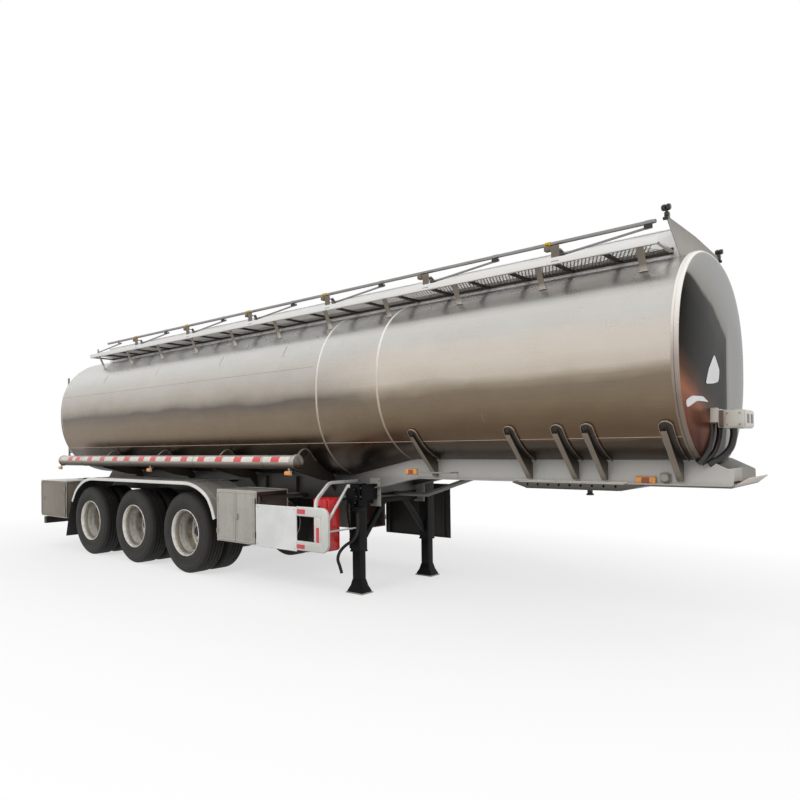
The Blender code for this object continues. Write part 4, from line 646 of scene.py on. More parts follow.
def makeTank():
    stations = np.concatenate([np.linspace(tank["rear"], tank["coneRear"], 44)[:-1],
        np.linspace(tank["coneRear"], tank["coneFront"], 12)[:-1],
        np.linspace(tank["coneFront"], tank["front"], 22)])[:, None]
    # The panels between baffles stand a fraction of a millimetre proud, so the flank mirrors unevenly
    ripple = 0.0007 * np.sin(2 * np.pi * stations / 0.93) * np.sin(3 * tankAngles + stations)
    shell = patch(tankPoints(stations, tankAngles, ripple), wrapV=True, caps=True)
    collars, fixings = [], []
    for station in manholes:
        collars.append(turned([(0.27, 3.30), (0.27, 3.365), (0.30, 3.365), (0.30, 3.345), (0.296, 3.340),
            (0.296, 3.20), (0.0, 3.20), (0, 3.30)], (station, 0, 0), steps=64))
        back = station - hinge["back"]
        for y in (-0.051, 0.051):
            collars += slabs(((back - 0.02, station - 0.28), about(y, 0.006), (3.25, 3.359)),
                (about(back, 0.02), about(y, 0.006), (3.335, 3.40), 0.005))
        fixings.append(bar((back, -0.065, hinge["z"]), (back, 0.065, hinge["z"]), 0.008))
    putPiece("tankShell", layered([shell], collars + fixings), [tankMetal, weldMetal], stands=("tank_barrel",))
    beads = [tankBand(halfRound(s, tank["weldHalf"], tank["weldRise"]))
        for s in (tank["coneRear"], tank["coneFront"])]
    beads.append(tankBand(halfRound(tank["rear"] + 0.02, 0.007, 0.003)))
    putPiece("girthWelds", beads, weldMetal)
    x = np.linspace(tank["rear"], tank["front"], 90)
    seams = []
    for z in tank["seams"]:
        span = x if z < 2 else x[x < tank["coneRear"]]
        for _, side in sides:
            line = np.stack([span, side * tankSideY(span, z, 0.0005), np.full(len(span), z)], 1)
            seams.append(sweep(line, oblong(0.004, 0.007, 0.0018)))
    # Short welds over the baffle ends and girth joints of the rear barrel
    for station in (-1.35, 0.2, 1.75, 3.0, 5.75):
        run = np.linspace(0.45, 0.62, 8) if station < 4 else np.linspace(-0.52, -0.42, 8)
        for _, side in sides:
            line = tankPoints(np.full(8, station), run, 0.0004) * (1, side, 1)
            seams.append(sweep(line, oblong(0.005, 0.003, 0.0012), up=(1, 0, 0)))
    putPiece("lengthSeams", seams, seamMetal)
    # Heads: rim radius scale = cos^0.7, depth = sin^0.9 of the dish angle
    turn = np.radians(np.linspace(0, 90, 30))[:, None]
    ringFront = tank["front"] + tank["ringLength"] + 0.004
    for name, start, depth, metal, stand in (("frontHead", ringFront, tank["frontDish"], headMetal,
            "tank_front_head"), ("rearHead", tank["rear"] - 0.0003, -tank["rearDish"], rearHeadMetal,
            "tank_rear_head")):
        flat = tankPoints(np.full((1, 1), start), tankAngles, 0.0, np.cos(turn) ** 0.7)
        flat = np.concatenate([flat[:1], flat])
        flat[..., 0] = start + depth * np.concatenate([[[-0.1]], np.sin(turn) ** 0.9])
        parts = [patch(flat, wrapV=True, caps=True)]
        f, b, rise = tank["front"], ringFront - 0.004, tank["ringRise"]
        ring = ((f + 0.0003, 0.0), (f + 0.0003, rise - 0.003), (f + 0.004, rise), (f + 0.020, rise),
            (f + 0.023, rise - 0.004), (f + 0.026, rise), (b - 0.004, rise), (b, rise - 0.003), (b + 0.012, 0.004),
            (b + 0.012, -0.02), (f, -0.02))
        rim = tankBand(ring if depth > 0 else halfRound(start - 0.004, 0.006, 0.003))
        putPiece(name, layered(parts, [rim]), [metal, ringMetal], stands=(stand,))


makeTank()
print("tank made")


# ---- manhole lids
lidSizes = {"radius": 0.315, "low": 3.3653, "clamps": 8}


def makeLids(lid):
    # Turned lid with rolled rim and raised crown, clamp lugs round it, a vent cap and a grab handle
    for number, station in enumerate(manholes, 1):
        low, r = lid["low"], lid["radius"]
        crown = [(0, low + 0.052), (0.08, low + 0.050), (0.19, low + 0.040), (0.25, low + 0.030), (0.27, low + 0.026),
            (0.285, low + 0.034), (r - 0.006, low + 0.035), (r, low + 0.030), (r, low + 0.004), (r - 0.004, low),
            (0, low)]
        parts = [turned(crown, (station, 0, 0), steps=64)]
        a = np.linspace(0, 2 * np.pi, lid["clamps"], endpoint=False) + np.pi / 8
        spots = np.stack([station + 0.292 * np.cos(a), 0.292 * np.sin(a), np.full(len(a), low + 0.034)], 1)
        parts += bolts(spots, (0, 0, 1), 0.013, 0.016)
        parts.append(turned([(0, 0.05), (0.03, 0.048), (0.042, 0.038), (0.042, 0.012), (0.030, 0.0), (0, 0)],
            (station - 0.10, 0.08, low + 0.045), steps=24))
        path = rounded([(station + 0.18, -0.075, low + 0.02), (station + 0.18, -0.075, low + 0.067),
            (station + 0.18, 0.075, low + 0.067), (station + 0.18, 0.075, low + 0.02)], 0.025, 5)
        parts.append(sweep(path, circle(0.006, 10), up=(1, 0, 0)))
        back = station - hinge["back"]
        parts.append(slab((back - 0.016, station - 0.2), (-0.035, 0.035), (low + 0.003, low + 0.033), 0.006))
        parts.append(bar((back, -0.036, hinge["z"]), (back, 0.036, hinge["z"]), 0.0165, 20))
        putPiece("manholeLid%d" % number, parts, railMetal, "lid_%d" % number, ("manhole_lid_%d" % number,))


makeLids(lidSizes)


# ---- chassis
chassis = {"beamY": 0.42, "web": 0.010, "flange": 0.014, "flangeWidth": 0.14, "bottom": 1.02, "neckBottom": 1.31,
    "neckTop": 1.528, "slopeRear": 3.30, "slopeFront": 4.57, "front": 7.71, "frontTop": 1.431, "nose": 7.517,
    "tailTop": 1.16, "tailStep": -2.25, "rear": -3.06, "gussets": (4.876, 5.978, 6.44, 6.708, 7.341),
    "stays": (-1.07, 0.40, 1.87, 3.34)}
bracket = {"base": 0.455, "tip": 0.909, "halfWidth": 0.055, "sheet": 0.003, "lip": 0.017, "stand": 0.003,
    "flange": 0.050, "foot": (0.455, 1.344), "head": (0.874, 1.757), "root": 1.50}


def flankFrame(station, y):
    # Point of the flank at y, with its outward normal in the section's plane
    z = tankUnderZ(station, y)
    rise = tankUnderZ(station, y + 0.002) - tankUnderZ(station, y - 0.002)
    normal = unit(np.stack([rise, np.full_like(y, -0.004)], 1))
    return np.stack([y, z], 1), normal


def makeGusset(station, side, b=bracket):
    # Saddle strip up the flank with a lip round its domed end; an L stay runs from its middle down to the neck
    y = np.linspace(b["base"], b["tip"], 60)
    flank, normal = flankFrame(station, y)
    run = np.concatenate([[0], np.cumsum(np.linalg.norm(np.diff(flank, axis=0), axis=1))])
    h = b["halfWidth"]
    straight, dome = run[-1] - h, np.linspace(0, np.pi, 17)

    def onFlank(x, s, out):
        yz = [np.interp(s, run, flank[:, k]) + out * np.interp(s, run, normal[:, k]) for k in (0, 1)]
        return np.stack(np.broadcast_arrays(station + x, side * yz[0], yz[1]), -1)

    up = np.linspace(0, straight, 14)
    edgeX = np.concatenate([np.full(14, -h), -h * np.cos(dome[1:-1]), np.full(14, h)])
    edgeS = np.concatenate([up, straight + h * np.sin(dome[1:-1]), up[::-1]])
    outY, outZ = [np.interp(edgeS, run, normal[:, k]) for k in (0, 1)]
    outward = np.stack([np.zeros(len(edgeS)), outY * side, outZ], 1)
    border = onFlank(edgeX, edgeS, b["stand"] + b["lip"] / 2)
    lip = sweep(border, oblong(b["sheet"], b["lip"], 0.001), outward)
    # Plate: rows run up the strip and narrow over the dome, half width = h cos t at s = straight + h sin t
    t = np.linspace(0, np.pi / 2, 8)
    rows = np.concatenate([up, straight + h * np.sin(t[1:-1])])
    wide = np.concatenate([np.full(14, h), h * np.cos(t[1:-1])])
    rim = [(-1, 1), (1, 1), (1, 0), (-1, 0)]
    plate = np.stack([onFlank(a * wide, rows, b["stand"] + c * b["sheet"]) for a, c in rim], 1)
    dark = [patch(plate, wrapV=True, caps=True)]
    # Web of the stay, its foot on the neck and its top notched from the strip to the flange
    stand = flank + normal * (b["stand"] + b["sheet"])
    top = straight + 0.03
    spine = [tuple(q) for q in stand[(run < top) & (y > b["base"])][::4]]
    notch = smoothPath([spine[-1], (0.882, 1.778), b["head"]], 6)
    web = [(0.4255, b["foot"][1]), (0.4255, b["root"])] + spine[:-1] + [tuple(q) for q in notch] + [b["foot"]]
    dark.append(sheet(np.array(web) * (side, 1), about(station, 0.003), "yz", 0.0008))
    foot, head = [np.array((station - b["flange"] / 2 + 0.003, side * q[0], q[1])) for q in (b["foot"], b["head"])]
    fold = unit(head - foot)
    flange = sweep([foot, head + fold * 0.004], oblong(0.005, b["flange"], 0.0018), (1, 0, 0))
    return [lip], [flange], dark


def makeBeams(c):
    rear, front, low, neck = c["rear"], c["front"], c["bottom"], c["neckBottom"]
    web = [(rear, low), (c["slopeRear"], low), (c["slopeFront"], neck), (front, neck), (front, c["frontTop"]),
        (c["nose"], c["neckTop"]), (tank["coneFront"], c["neckTop"]), (tank["coneRear"], 1.341),
        (c["tailStep"] + 0.2, 1.341), (c["tailStep"], c["tailTop"]), (rear, c["tailTop"])]
    web = rounded(web, 0.014, 3, closed=True)
    for word, side in sides:
        y = side * c["beamY"]
        parts = [sheet(web, about(y, c["web"] / 2), "xz")]
        under = rounded([(rear, low), (c["slopeRear"], low), (c["slopeFront"], neck), (front, neck)], 0.16, 8)
        path = atY(under + (0, c["flange"] / 2), y)
        parts.append(sweep(path, oblong(c["flange"], c["flangeWidth"], 0.003), (0, 1, 0)))
        tail = [(rear, y, c["tailTop"] - 0.006), (c["tailStep"] - 0.03, y, c["tailTop"] - 0.006)]
        parts.append(sweep(tail, oblong(0.012, 0.10, 0.003), (0, 1, 0)))
        # Upright stiffeners on the web
        for station in (-2.9, -2.3, 2.1, 2.7):
            parts.append(slab(about(station, 0.004), (y + side * 0.004, y + side * 0.062),
                (low + 0.01, 1.30 if station > -2.2 else 1.15)))
        # Rolled edge along the neck top, with a shadow gap under it
        parts.append(slab((c["slopeFront"], c["nose"] - 0.02), (y + side * 0.003, y + side * 0.016),
            (1.519, c["neckTop"]), 0.002))
        bright = []
        for i in range(4):
            x = (i - 1.5) * axlePitch
            cheek = rounded([(x - 0.12, low + 0.006), (x + 0.12, low + 0.006), (x + 0.10, 0.70), (x + 0.06, 0.66),
                (x - 0.06, 0.66), (x - 0.10, 0.70)], 0.02, 3, closed=True)
            for a, b in ((0.051, 0.061), (-0.061, -0.051)):
                parts.append(sheet(cheek, (side * (0.47 + a), side * (0.47 + b)), "xz"))
            parts += slabs((about(x, 0.10), (side * 0.411, side * 0.529), (0.7671, 0.797)),
                (about(x, 0.13), (side * 0.40, side * 0.54), (low - 0.006, low + 0.008)))
            spots = [(x + dx, side * 0.5325, z) for dx, z in ((-0.07, 0.94), (0.07, 0.94), (0, 0.72))]
            bright += bolts(spots, (0, side, 0), 0.012)
        lips, flanges, webs, stays, straps = [], [], [], [], []
        for station in c["gussets"]:
            lip, flange, dark = makeGusset(station, side)
            lips, flanges, webs = lips + lip, flanges + flange, webs + dark
        for station in c["stays"]:
            outline = [(0.423, low + 0.10), (0.423, low + 0.28)]
            outline += [(v, float(tankUnderZ(station, v)) + 0.006) for v in np.linspace(0.5, 0.86, 8)]
            outline += [(0.93, 1.52), (1.06, 1.45), (1.10, 1.42), (1.15, 1.40), (0.70, 1.28), (0.56, 1.265)]
            stays.append(sheet(np.array(outline) * (side, 1), about(station, 0.004), "yz"))
            lip = np.array([(station, side * 0.56, 1.265), (station, side * 0.70, 1.28),
                (station, side * 1.15, 1.40)])
            stays.append(sweep(lip, oblong(0.005, 0.045, 0.0015), (1, 0, 0)))
            strapY = np.linspace(0.75, 0.872, 12)
            strapZ = tankUnderZ(station, strapY, 0.004)
            strap = np.stack([np.full(12, station), side * strapY, strapZ], 1)
            over = [(station, side * v, h) for v, h in ((0.93, 1.655), (1.0, 1.63), (1.07, 1.565))]
            strap = np.concatenate([strap, over])
            straps.append(sweep(smoothPath(strap, 24), oblong(0.010, 0.030, 0.003), (1, 0, 0)))
        putPiece("mainBeam" + word.title(), layered(parts, flanges + straps, stays, bright, webs, lips),
            [framePaint, gussetPaint, stayPaint, boltSteel, bracketShade, bracketLip], stands=("main_beam_" + word,))


makeBeams(chassis)
print("chassis made")


# ---- hose tubes with their reflective tape
tube = {"y": 1.150, "z": 1.50, "radius": 0.083, "rear": -2.42, "front": 3.40, "cap": 0.05}
tape = {"reds": (3.132, 2.805, 2.441, 2.062, 1.681, 1.295, 0.916, 0.533, 0.218, -0.193, -0.532, -0.924, -1.326,
    -1.733, -1.999), "redLength": 0.145, "low": 2, "high": 52}


def tubeStrip(y, side, x, low, high, rise):
    # Strip of a cylinder between two angles, with a thin wall under it
    a = np.radians(np.linspace(low, high, 8))
    outer, inner = tube["radius"] + rise, tube["radius"] - 0.001
    ring = np.concatenate([np.stack([np.cos(a), np.sin(a)], 1) * outer,
        np.stack([np.cos(a), np.sin(a)], 1)[::-1] * inner])
    points = np.stack([np.broadcast_to(np.array(x)[:, None], (2, len(ring))),
        np.broadcast_to(y + side * ring[:, 0], (2, len(ring))),
        np.broadcast_to(tube["z"] + ring[:, 1], (2, len(ring)))], -1)
    return patch(points, wrapV=True, caps=True)


def makeHoseTubes():
    for word, side in sides:
        y, r, rear, front, cap = side * tube["y"], tube["radius"], tube["rear"], tube["front"], tube["cap"]
        profile = [(0, rear), (0.080, rear), (0.088, rear + 0.008), (0.088, rear + cap - 0.006), (r, rear + cap),
            (r, front), (0.090, front + 0.002), (0.092, front + 0.008), (0.092, front + cap - 0.008),
            (0.084, front + cap), (0.060, front + cap), (0.056, front + cap - 0.008), (0, front + cap - 0.008)]
        parts = [turned(profile, (0, y, tube["z"]), "x", 48)]
        for x in (-1.6, -0.1, 1.5, 2.9):
            parts.append(turned([(r - 0.002, x - 0.012), (r + 0.003, x - 0.012), (r + 0.003, x + 0.012),
                (r - 0.002, x + 0.012)], (0, y, tube["z"]), "x", 40, loop=True))
        lock = [slab((front + cap - 0.009, front + cap + 0.010), about(y, 0.012), (1.47, 1.53), 0.004)]
        lock += bolts([(front + cap - 0.008, y, 1.545), (front + cap - 0.008, y, 1.455)], (1, 0, 0), 0.006, 0.005)
        white = [tubeStrip(y, side, (rear + cap + 0.02, front - 0.03), tape["low"], tape["high"], 0.0006)]
        half = tape["redLength"] / 2
        red = [tubeStrip(y, side, about(x, half), tape["low"], tape["high"], 0.0014) for x in tape["reds"]]
        putPiece("hoseTube" + word.title(), layered(parts, lock, white, red),
            [tubeMetal, boltSteel, reflectorWhite, reflectorRed], stands=("hose_tube_" + word,))


makeHoseTubes()


# ---- wheels: ribbed tyres on deep steel discs
wheel = {"radius": 0.542, "halfWidth": 0.150, "pitch": 0.340, "bead": 0.2985, "twinY": 0.92, "holes": 10,
    "holeRing": 0.205, "studs": 10, "studRing": 0.1235, "capBolts": 8, "steps": 96}


def tyreProfile(w):
    # Closed section (radius, across): bead, bulged flank with its rings, shoulder, tread cut by four grooves
    flank = [(w["bead"], 0.118), (0.306, 0.128), (0.322, 0.131), (0.326, 0.136), (0.340, 0.141), (0.36, 0.146),
        (0.385, 0.1495), (0.41, 0.150), (0.435, 0.1485), (0.452, 0.1465), (0.456, 0.1478), (0.462, 0.1455),
        (0.485, 0.140), (0.505, 0.133), (0.510, 0.1335), (0.522, 0.124), (0.534, 0.114)]
    tread = [(0.5405, 0.104)]
    for groove in (0.072, 0.026):
        tread += [(w["radius"], groove + 0.007), (0.528, groove + 0.004), (0.528, groove - 0.004),
            (w["radius"], groove - 0.007)]
    half = flank + tread
    other = [(r, -a) for r, a in half[::-1]]
    return half + other + [(w["bead"] - 0.004, -0.1), (w["bead"] - 0.004, 0.1)]


def discSector(w, across, count=24):
    # One tenth of the disc round a hand hole: rings go from the hole's edge out to the sector's own border
    step = 2 * np.pi / w["holes"]
    inner, outer = 0.142, 0.247
    t = np.linspace(0, 2 * np.pi, count, endpoint=False)
    u, v = np.cos(t), np.sin(t)
    square = 1 / np.maximum(np.abs(u), np.abs(v))
    su, sv = u * square, v * square
    borderR = (inner + outer) / 2 + (outer - inner) / 2 * su
    borderA = step / 2 * sv
    border = np.stack([borderR * np.cos(borderA), borderR * np.sin(borderA)], 1)
    hole = np.stack([w["holeRing"] + 0.0275 * u, 0.033 * v], 1)
    share = np.array([0, 0.12, 0.45, 1.0])[:, None, None]
    flat = hole * (1 - share) + border * share
    radius = np.linalg.norm(flat, axis=-1)
    # The disc's dome: it stands out towards the hub and falls away to the rim
    dome = across + 0.045 * np.cos(np.clip((radius - 0.142) / 0.105, 0, 1) * np.pi / 2)
    front = np.concatenate([flat, dome[..., None]], -1)
    back = front[::-1] - (0, 0, 0.012)
    walls = np.concatenate([back, front])
    return patch(walls, wrapU=True, wrapV=True)


def boltCircle(centre, count, ring, out, phase=0.0):
    # Points evenly round the axle at one radius, the phase in parts of a step
    a = 2 * np.pi * (np.arange(count) + phase) / count
    return centre + np.stack([ring * np.cos(a), np.full(count, out), ring * np.sin(a)], 1)


def makeWheels(w):
    # Sections of (radius, outward): the rim from its outer lip down to the well and back under the bead seat
    rim = [(0.312, 0.142), (0.316, 0.137), (0.315, 0.130), (0.306, 0.124), (0.2995, 0.120), (0.2965, 0.100),
        (0.294, 0.06), (0.286, 0.045), (0.284, -0.06), (0.294, -0.075), (0.2965, -0.105), (0.304, -0.121),
        (0.312, -0.132), (0.308, -0.136), (0.298, -0.128), (0.288, -0.108), (0.284, -0.08), (0.274, -0.064),
        (0.2745, 0.045), (0.284, 0.062), (0.287, 0.10), (0.292, 0.116), (0.300, 0.132), (0.306, 0.141)]
    well = ((0.2715, 0.05), (0.2835, 0.066), (0.2865, 0.10), (0.285, 0.10), (0.2735, 0.068))
    # Rims bolt back to back through one disc, so a tube joins their wells at the middle
    joint = ((0.2655, 0.095), (0.281, 0.095), (0.281, -0.095), (0.2655, -0.095))
    band = ((0.246, 0.002), (0.2665, 0.010), (0.2665, -0.012), (0.246, -0.012))
    boss = ((0.143, 0.033), (0.143, 0.045), (0.125, 0.046), (0.105, 0.044), (0.105, 0.033))
    stud = ((0, 0.030), (0.008, 0.029), (0.009, 0.026), (0.009, 0.0), (0, 0))
    hubCap = ((0, 0.125), (0.030, 0.1245), (0.052, 0.121), (0.062, 0.112), (0.068, 0.095), (0.072, 0.062),
        (0.094, 0.052), (0.104, 0.040), (0.104, 0.010), (0, 0.010))
    drum = ((0, -0.012), (0.13, -0.012), (0.205, -0.06), (0.215, -0.13), (0.215, -0.30), (0.19, -0.309), (0, -0.309))
    tyre, sector = tyreProfile(w), discSector(w, 0.0)
    for word, side in sides:
        for number in (1, 2, 3):
            centre = np.array([(2 - number) * axlePitch, side * w["twinY"], w["radius"]])
            tyres, rims, wells = [], [], []
            for half in (1, -1):
                middle = half * w["pitch"] / 2
                tyres.append(facing([(r, a + middle) for r, a in tyre], side, centre, w["steps"], True))
                for parts, section in ((rims, rim), (wells, well)):
                    parts.append(facing([(r, a * half + middle) for r, a in section], side, centre, 72, True))
            wells.append(facing(joint, side, centre, 72, True))
            rims.append(facing(band, side, centre, 72, True))
            for k in range(w["holes"]):
                a = 2 * np.pi * (k + 0.5) / w["holes"]
                turn = np.array([(math.cos(a), 0, math.sin(a)), (-math.sin(a), 0, math.cos(a)), (0, side, 0)])
                local = sector["co"] @ turn
                rims.append(dict(sector, co=local + centre, place=local))
            rims.append(facing(boss, side, centre, 60, True))
            spots = boltCircle(centre, w["studs"], w["studRing"], side * 0.045)
            bolted = bolts(spots, (0, side, 0), 0.0155, 0.020) + [copies(facing(stud, side, steps=10), spots)]
            caps = [facing(section, side, centre, 48) for section in (hubCap, drum)]
            caps += bolts(boltCircle(centre, w["capBolts"], 0.083, side * 0.056, 0.5), (0, side, 0), 0.006, 0.006)
            valve = centre + (0.215, side * 0.05, 0.215)
            rims.append(bar(valve, valve + (0.02, side * 0.09, 0.02), 0.0045, 8))
            body, tail = "wheel_%s_%d" % (word, number), "%s_%d" % (word, number)
            name = word.title() + str(number)
            putPiece("tyres" + name, tyres, tyreRubber, body, ("twin_tyres_" + tail,), 50)
            putPiece("rims" + name, layered(rims, bolted, caps, wells), [wheelSilver, wheelSilver, hubBlack, rimWellShade],
                body, ("hub_" + tail,))


makeWheels(wheel)
print("wheels made")


# ---- fenders
fender = {"sheet": 0.003, "inner": 0.62, "outer": 1.25, "lip": 0.042,
    "outline": ((-1.915, 0.834), (-1.79, 1.024), (-1.56, 1.170), (-1.32, 1.233), (1.43, 1.233), (1.65, 1.178),
    (1.842, 1.073), (1.943, 0.934), (2.003, 0.775))}


def makeFenders(f):
    # Sheet section with a turned-down lip, carried over the three wheels; white trim rides on the lip
    path = atY(rounded(f["outline"], 0.12, 5), 0)
    t, lip = f["sheet"], f["lip"]
    for word, side in sides:
        i, o = side * f["inner"], side * f["outer"]
        inner = side * 0.012
        section = [(rise, o - side * back) for rise, back in ((0, 0.006), (-0.004, 0.001), (-lip, 0.001),
            (-lip, 0.004), (-0.006, 0.0045), (-t, 0.012))]
        parts = [sweep(path, [(0, i), *section, (-t, i)], (0, 1, 0))]
        trim = [(rise, o - side * back) for rise, back in ((0.001, 0.010), (0.001, 0.001), (-0.002, 0),
            (-lip - 0.001, 0), (-lip - 0.001, 0.005), (-lip + 0.002, 0.0035), (-0.004, 0.0035), (-0.0015, 0.009))]
        white = [sweep(path, trim, (0, 1, 0))]
        # Swages pressed along the sheet
        for y in (0.74, 0.94, 1.14):
            ridge = [(0.003 * math.sin(k * math.pi / 6), side * (y - 0.018 + 0.006 * k)) for k in range(7)]
            ridge += [(-0.001, side * (y + 0.018)), (-0.001, side * (y - 0.018))]
            parts.append(sweep(path, ridge, (0, 1, 0)))
        liner = [(-t - 0.0005, i + inner), (-t - 0.0005, o - inner * 1.4), (-lip, o - side * 0.006),
            (-lip, o - side * 0.0075), (-t - 0.003, o - inner * 1.6), (-t - 0.003, i + inner)]
        struts = [sweep(path, liner, (0, 1, 0))]
        struts += [slab(about(x, 0.015), (side * beamFace, side * 1.22), (1.197, 1.228))
            for x in (-1.30, -0.655, 0.655, 1.42)]
        putPiece("fender" + word.title(), layered(parts, white, struts), [fenderMetal, trimWhite, underPaint],
            stands=("fender_" + word,))


makeFenders(fender)


# ---- toolboxes: edge angles and lids on the CAD shells, panels with latches and hinges on the door bodies
boxes = {"front": (2.03, 2.79, 0.51, 1.15), "rear": (-3.10, -2.16, 0.53, 1.14), "depth": 0.51, "face": 1.2270,
    "doorFace": 1.2453, "margin": 0.010, "gap": 0.006}


def latchParts(x, z, y, side):
    # Oval recess plate, round barrel and a T handle
    plate = turned([(0, 0.002), (0.028, 0.002), (0.030, 0.0005), (0.030, 0), (0, 0)], steps=28)
    plate["co"] = plate["co"] @ np.array([(1, 0, 0), (0, 0, 1.45), (0, side, 0)]) + (x, y, z)
    drum = ((0, 0.009), (0.010, 0.009), (0.012, 0.006), (0.012, 0), (0, 0))
    barrel = facing(drum, side, (x, y, z), 20)
    bent = ((-0.004, 0.002, 0.038), (0, 0.0045, 0.02), (0, 0.0045, -0.02), (0.004, 0.002, -0.040))
    grip = sweep([(x + dx, y + side * out, z + dz) for dx, out, dz in bent], oblong(0.009, 0.006, 0.002), (1, 0, 0))
    return [plate, barrel, grip]


def makeDoor(name, x, z, side, hingeX, latchX):
    face, back = side * boxes["doorFace"], side * (boxes["doorFace"] - 0.018)
    parts = [slab(x, (back, face - side * 0.006), z, 0.003)]
    # Pressed border: a shallow frame around a flush inner panel
    path = border(x, z, face - side * 0.005, 0.012, 0.02)
    parts.append(sweep(path, oblong(0.022, 0.008, 0.003), (0, 1, 0), closed=True))
    parts.append(slab((x[0] + 0.035, x[1] - 0.035), (face - side * 0.008, face - side * 0.0035),
        (z[0] + 0.035, z[1] - 0.035), 0.002))
    metal = latchParts(latchX, (z[0] + z[1]) / 2, face - side * 0.0035, side) if latchX else []
    height, black = z[1] - z[0], []
    for share in (0.18, 0.82):
        middle = z[0] + share * height
        pin = [(hingeX, face - side * 0.0005, end) for end in about(middle, 0.032)]
        metal.append(bar(*pin, 0.0062, 12))
        black.append(slab(about(hingeX, 0.011), (face - side * 0.010, face - side * 0.0004), about(middle, 0.036),
            0.003))
        leaf = sorted((hingeX, hingeX + math.copysign(0.040, (x[0] + x[1]) / 2 - hingeX)))
        metal.append(slab(leaf, (face - side * 0.006, face - side * 0.0012), about(middle, 0.028), 0.001))
        away = math.copysign(0.026, (x[0] + x[1]) / 2 - hingeX)
        spots = [(hingeX + away, face - side * 0.0015, end) for end in about(middle, 0.016)]
        metal += bolts(spots, (0, side, 0), 0.0035, 0.0022)
    title = name.title().replace("_", "")
    putPiece(title[0].lower() + title[1:] + "Panel", layered(parts, metal, black),
        [boxRear if "rear_toolbox" in name else boxPaint, boltSteel, blackPaint], name, (name,))


def makeToolboxes(b):
    m, gap = b["margin"], b["gap"]
    for word, side in sides:
        x0, x1, z0, z1 = b["front"]
        middle, height = (x0 + x1) / 2, (z0 + m, z1 - m)
        makeDoor("front_toolbox_door_rear_" + word, (x0 + m, middle - gap / 2), height, side, x0 + m - 0.003, None)
        makeDoor("front_toolbox_door_front_" + word, (middle + gap / 2, x1 - m), height, side, x1 - m + 0.003,
            middle + 0.045)
        x0, x1, z0, z1 = b["rear"]
        makeDoor("rear_toolbox_door_" + word, (x0 + m, x1 - m), (z0 + m, z1 - m), side, x1 - m + 0.003, x0 + 0.12)
        face, back = side * b["face"], side * (b["face"] - b["depth"])
        # Rain lid over the rear box
        parts = [slab((x0 - 0.008, x1 + 0.008), (back - side * 0.004, face + side * 0.012), (z1 + 0.001, z1 + 0.013),
            0.005)]
        # Pressed panel on each outer end
        rearPanels, frontPanels = [], []
        # The front box's end panel takes the painted shade
        for x, way, (low, high), inset, panels in ((x0, -1, (z0, z1), 0.05, rearPanels),
                (x1, 1, (z0, z1), 0.05, rearPanels), (b["front"][1], 1, b["front"][2:], 0.012, frontPanels)):
            panels.append(slab((x + way * 0.0005, x + way * 0.004), (back + side * inset, face - side * inset),
                (low + inset, high - inset), 0.002))
        # Angles along all twelve edges of each box
        for x0, x1, z0, z1 in (b["front"], b["rear"]):
            for x in (x0, x1):
                for z in (z0, z1):
                    parts.append(beam((x, back, z), (x, face + side * 0.001, z), 0.014, 0.014, edge=0.004))
            for y in (back, face - side * 0.004):
                for z in (z0, z1):
                    parts.append(beam((x0 - 0.006, y, z), (x1 + 0.006, y, z), 0.012, 0.012, edge=0.004))
                for x in (x0, x1):
                    parts.append(beam((x, y, z0), (x, y, z1), 0.012, 0.012, (1, 0, 0), 0.004))
        putPiece("toolboxEdges" + word.title(), layered(parts, rearPanels, frontPanels), [boxTrim, boxRear, boxEndShade])


makeToolboxes(boxes)
print("toolboxes made")


# ---- side guards
guard = {"outer": 1.243, "sheet": 0.012, "depth": 0.04, "sign": (2.805, 3.50, 0.50, 1.00),
    "frame": (3.50, 4.00, 0.515, 1.007), "leftPanel": (2.805, 3.93, 0.41, 1.15)}


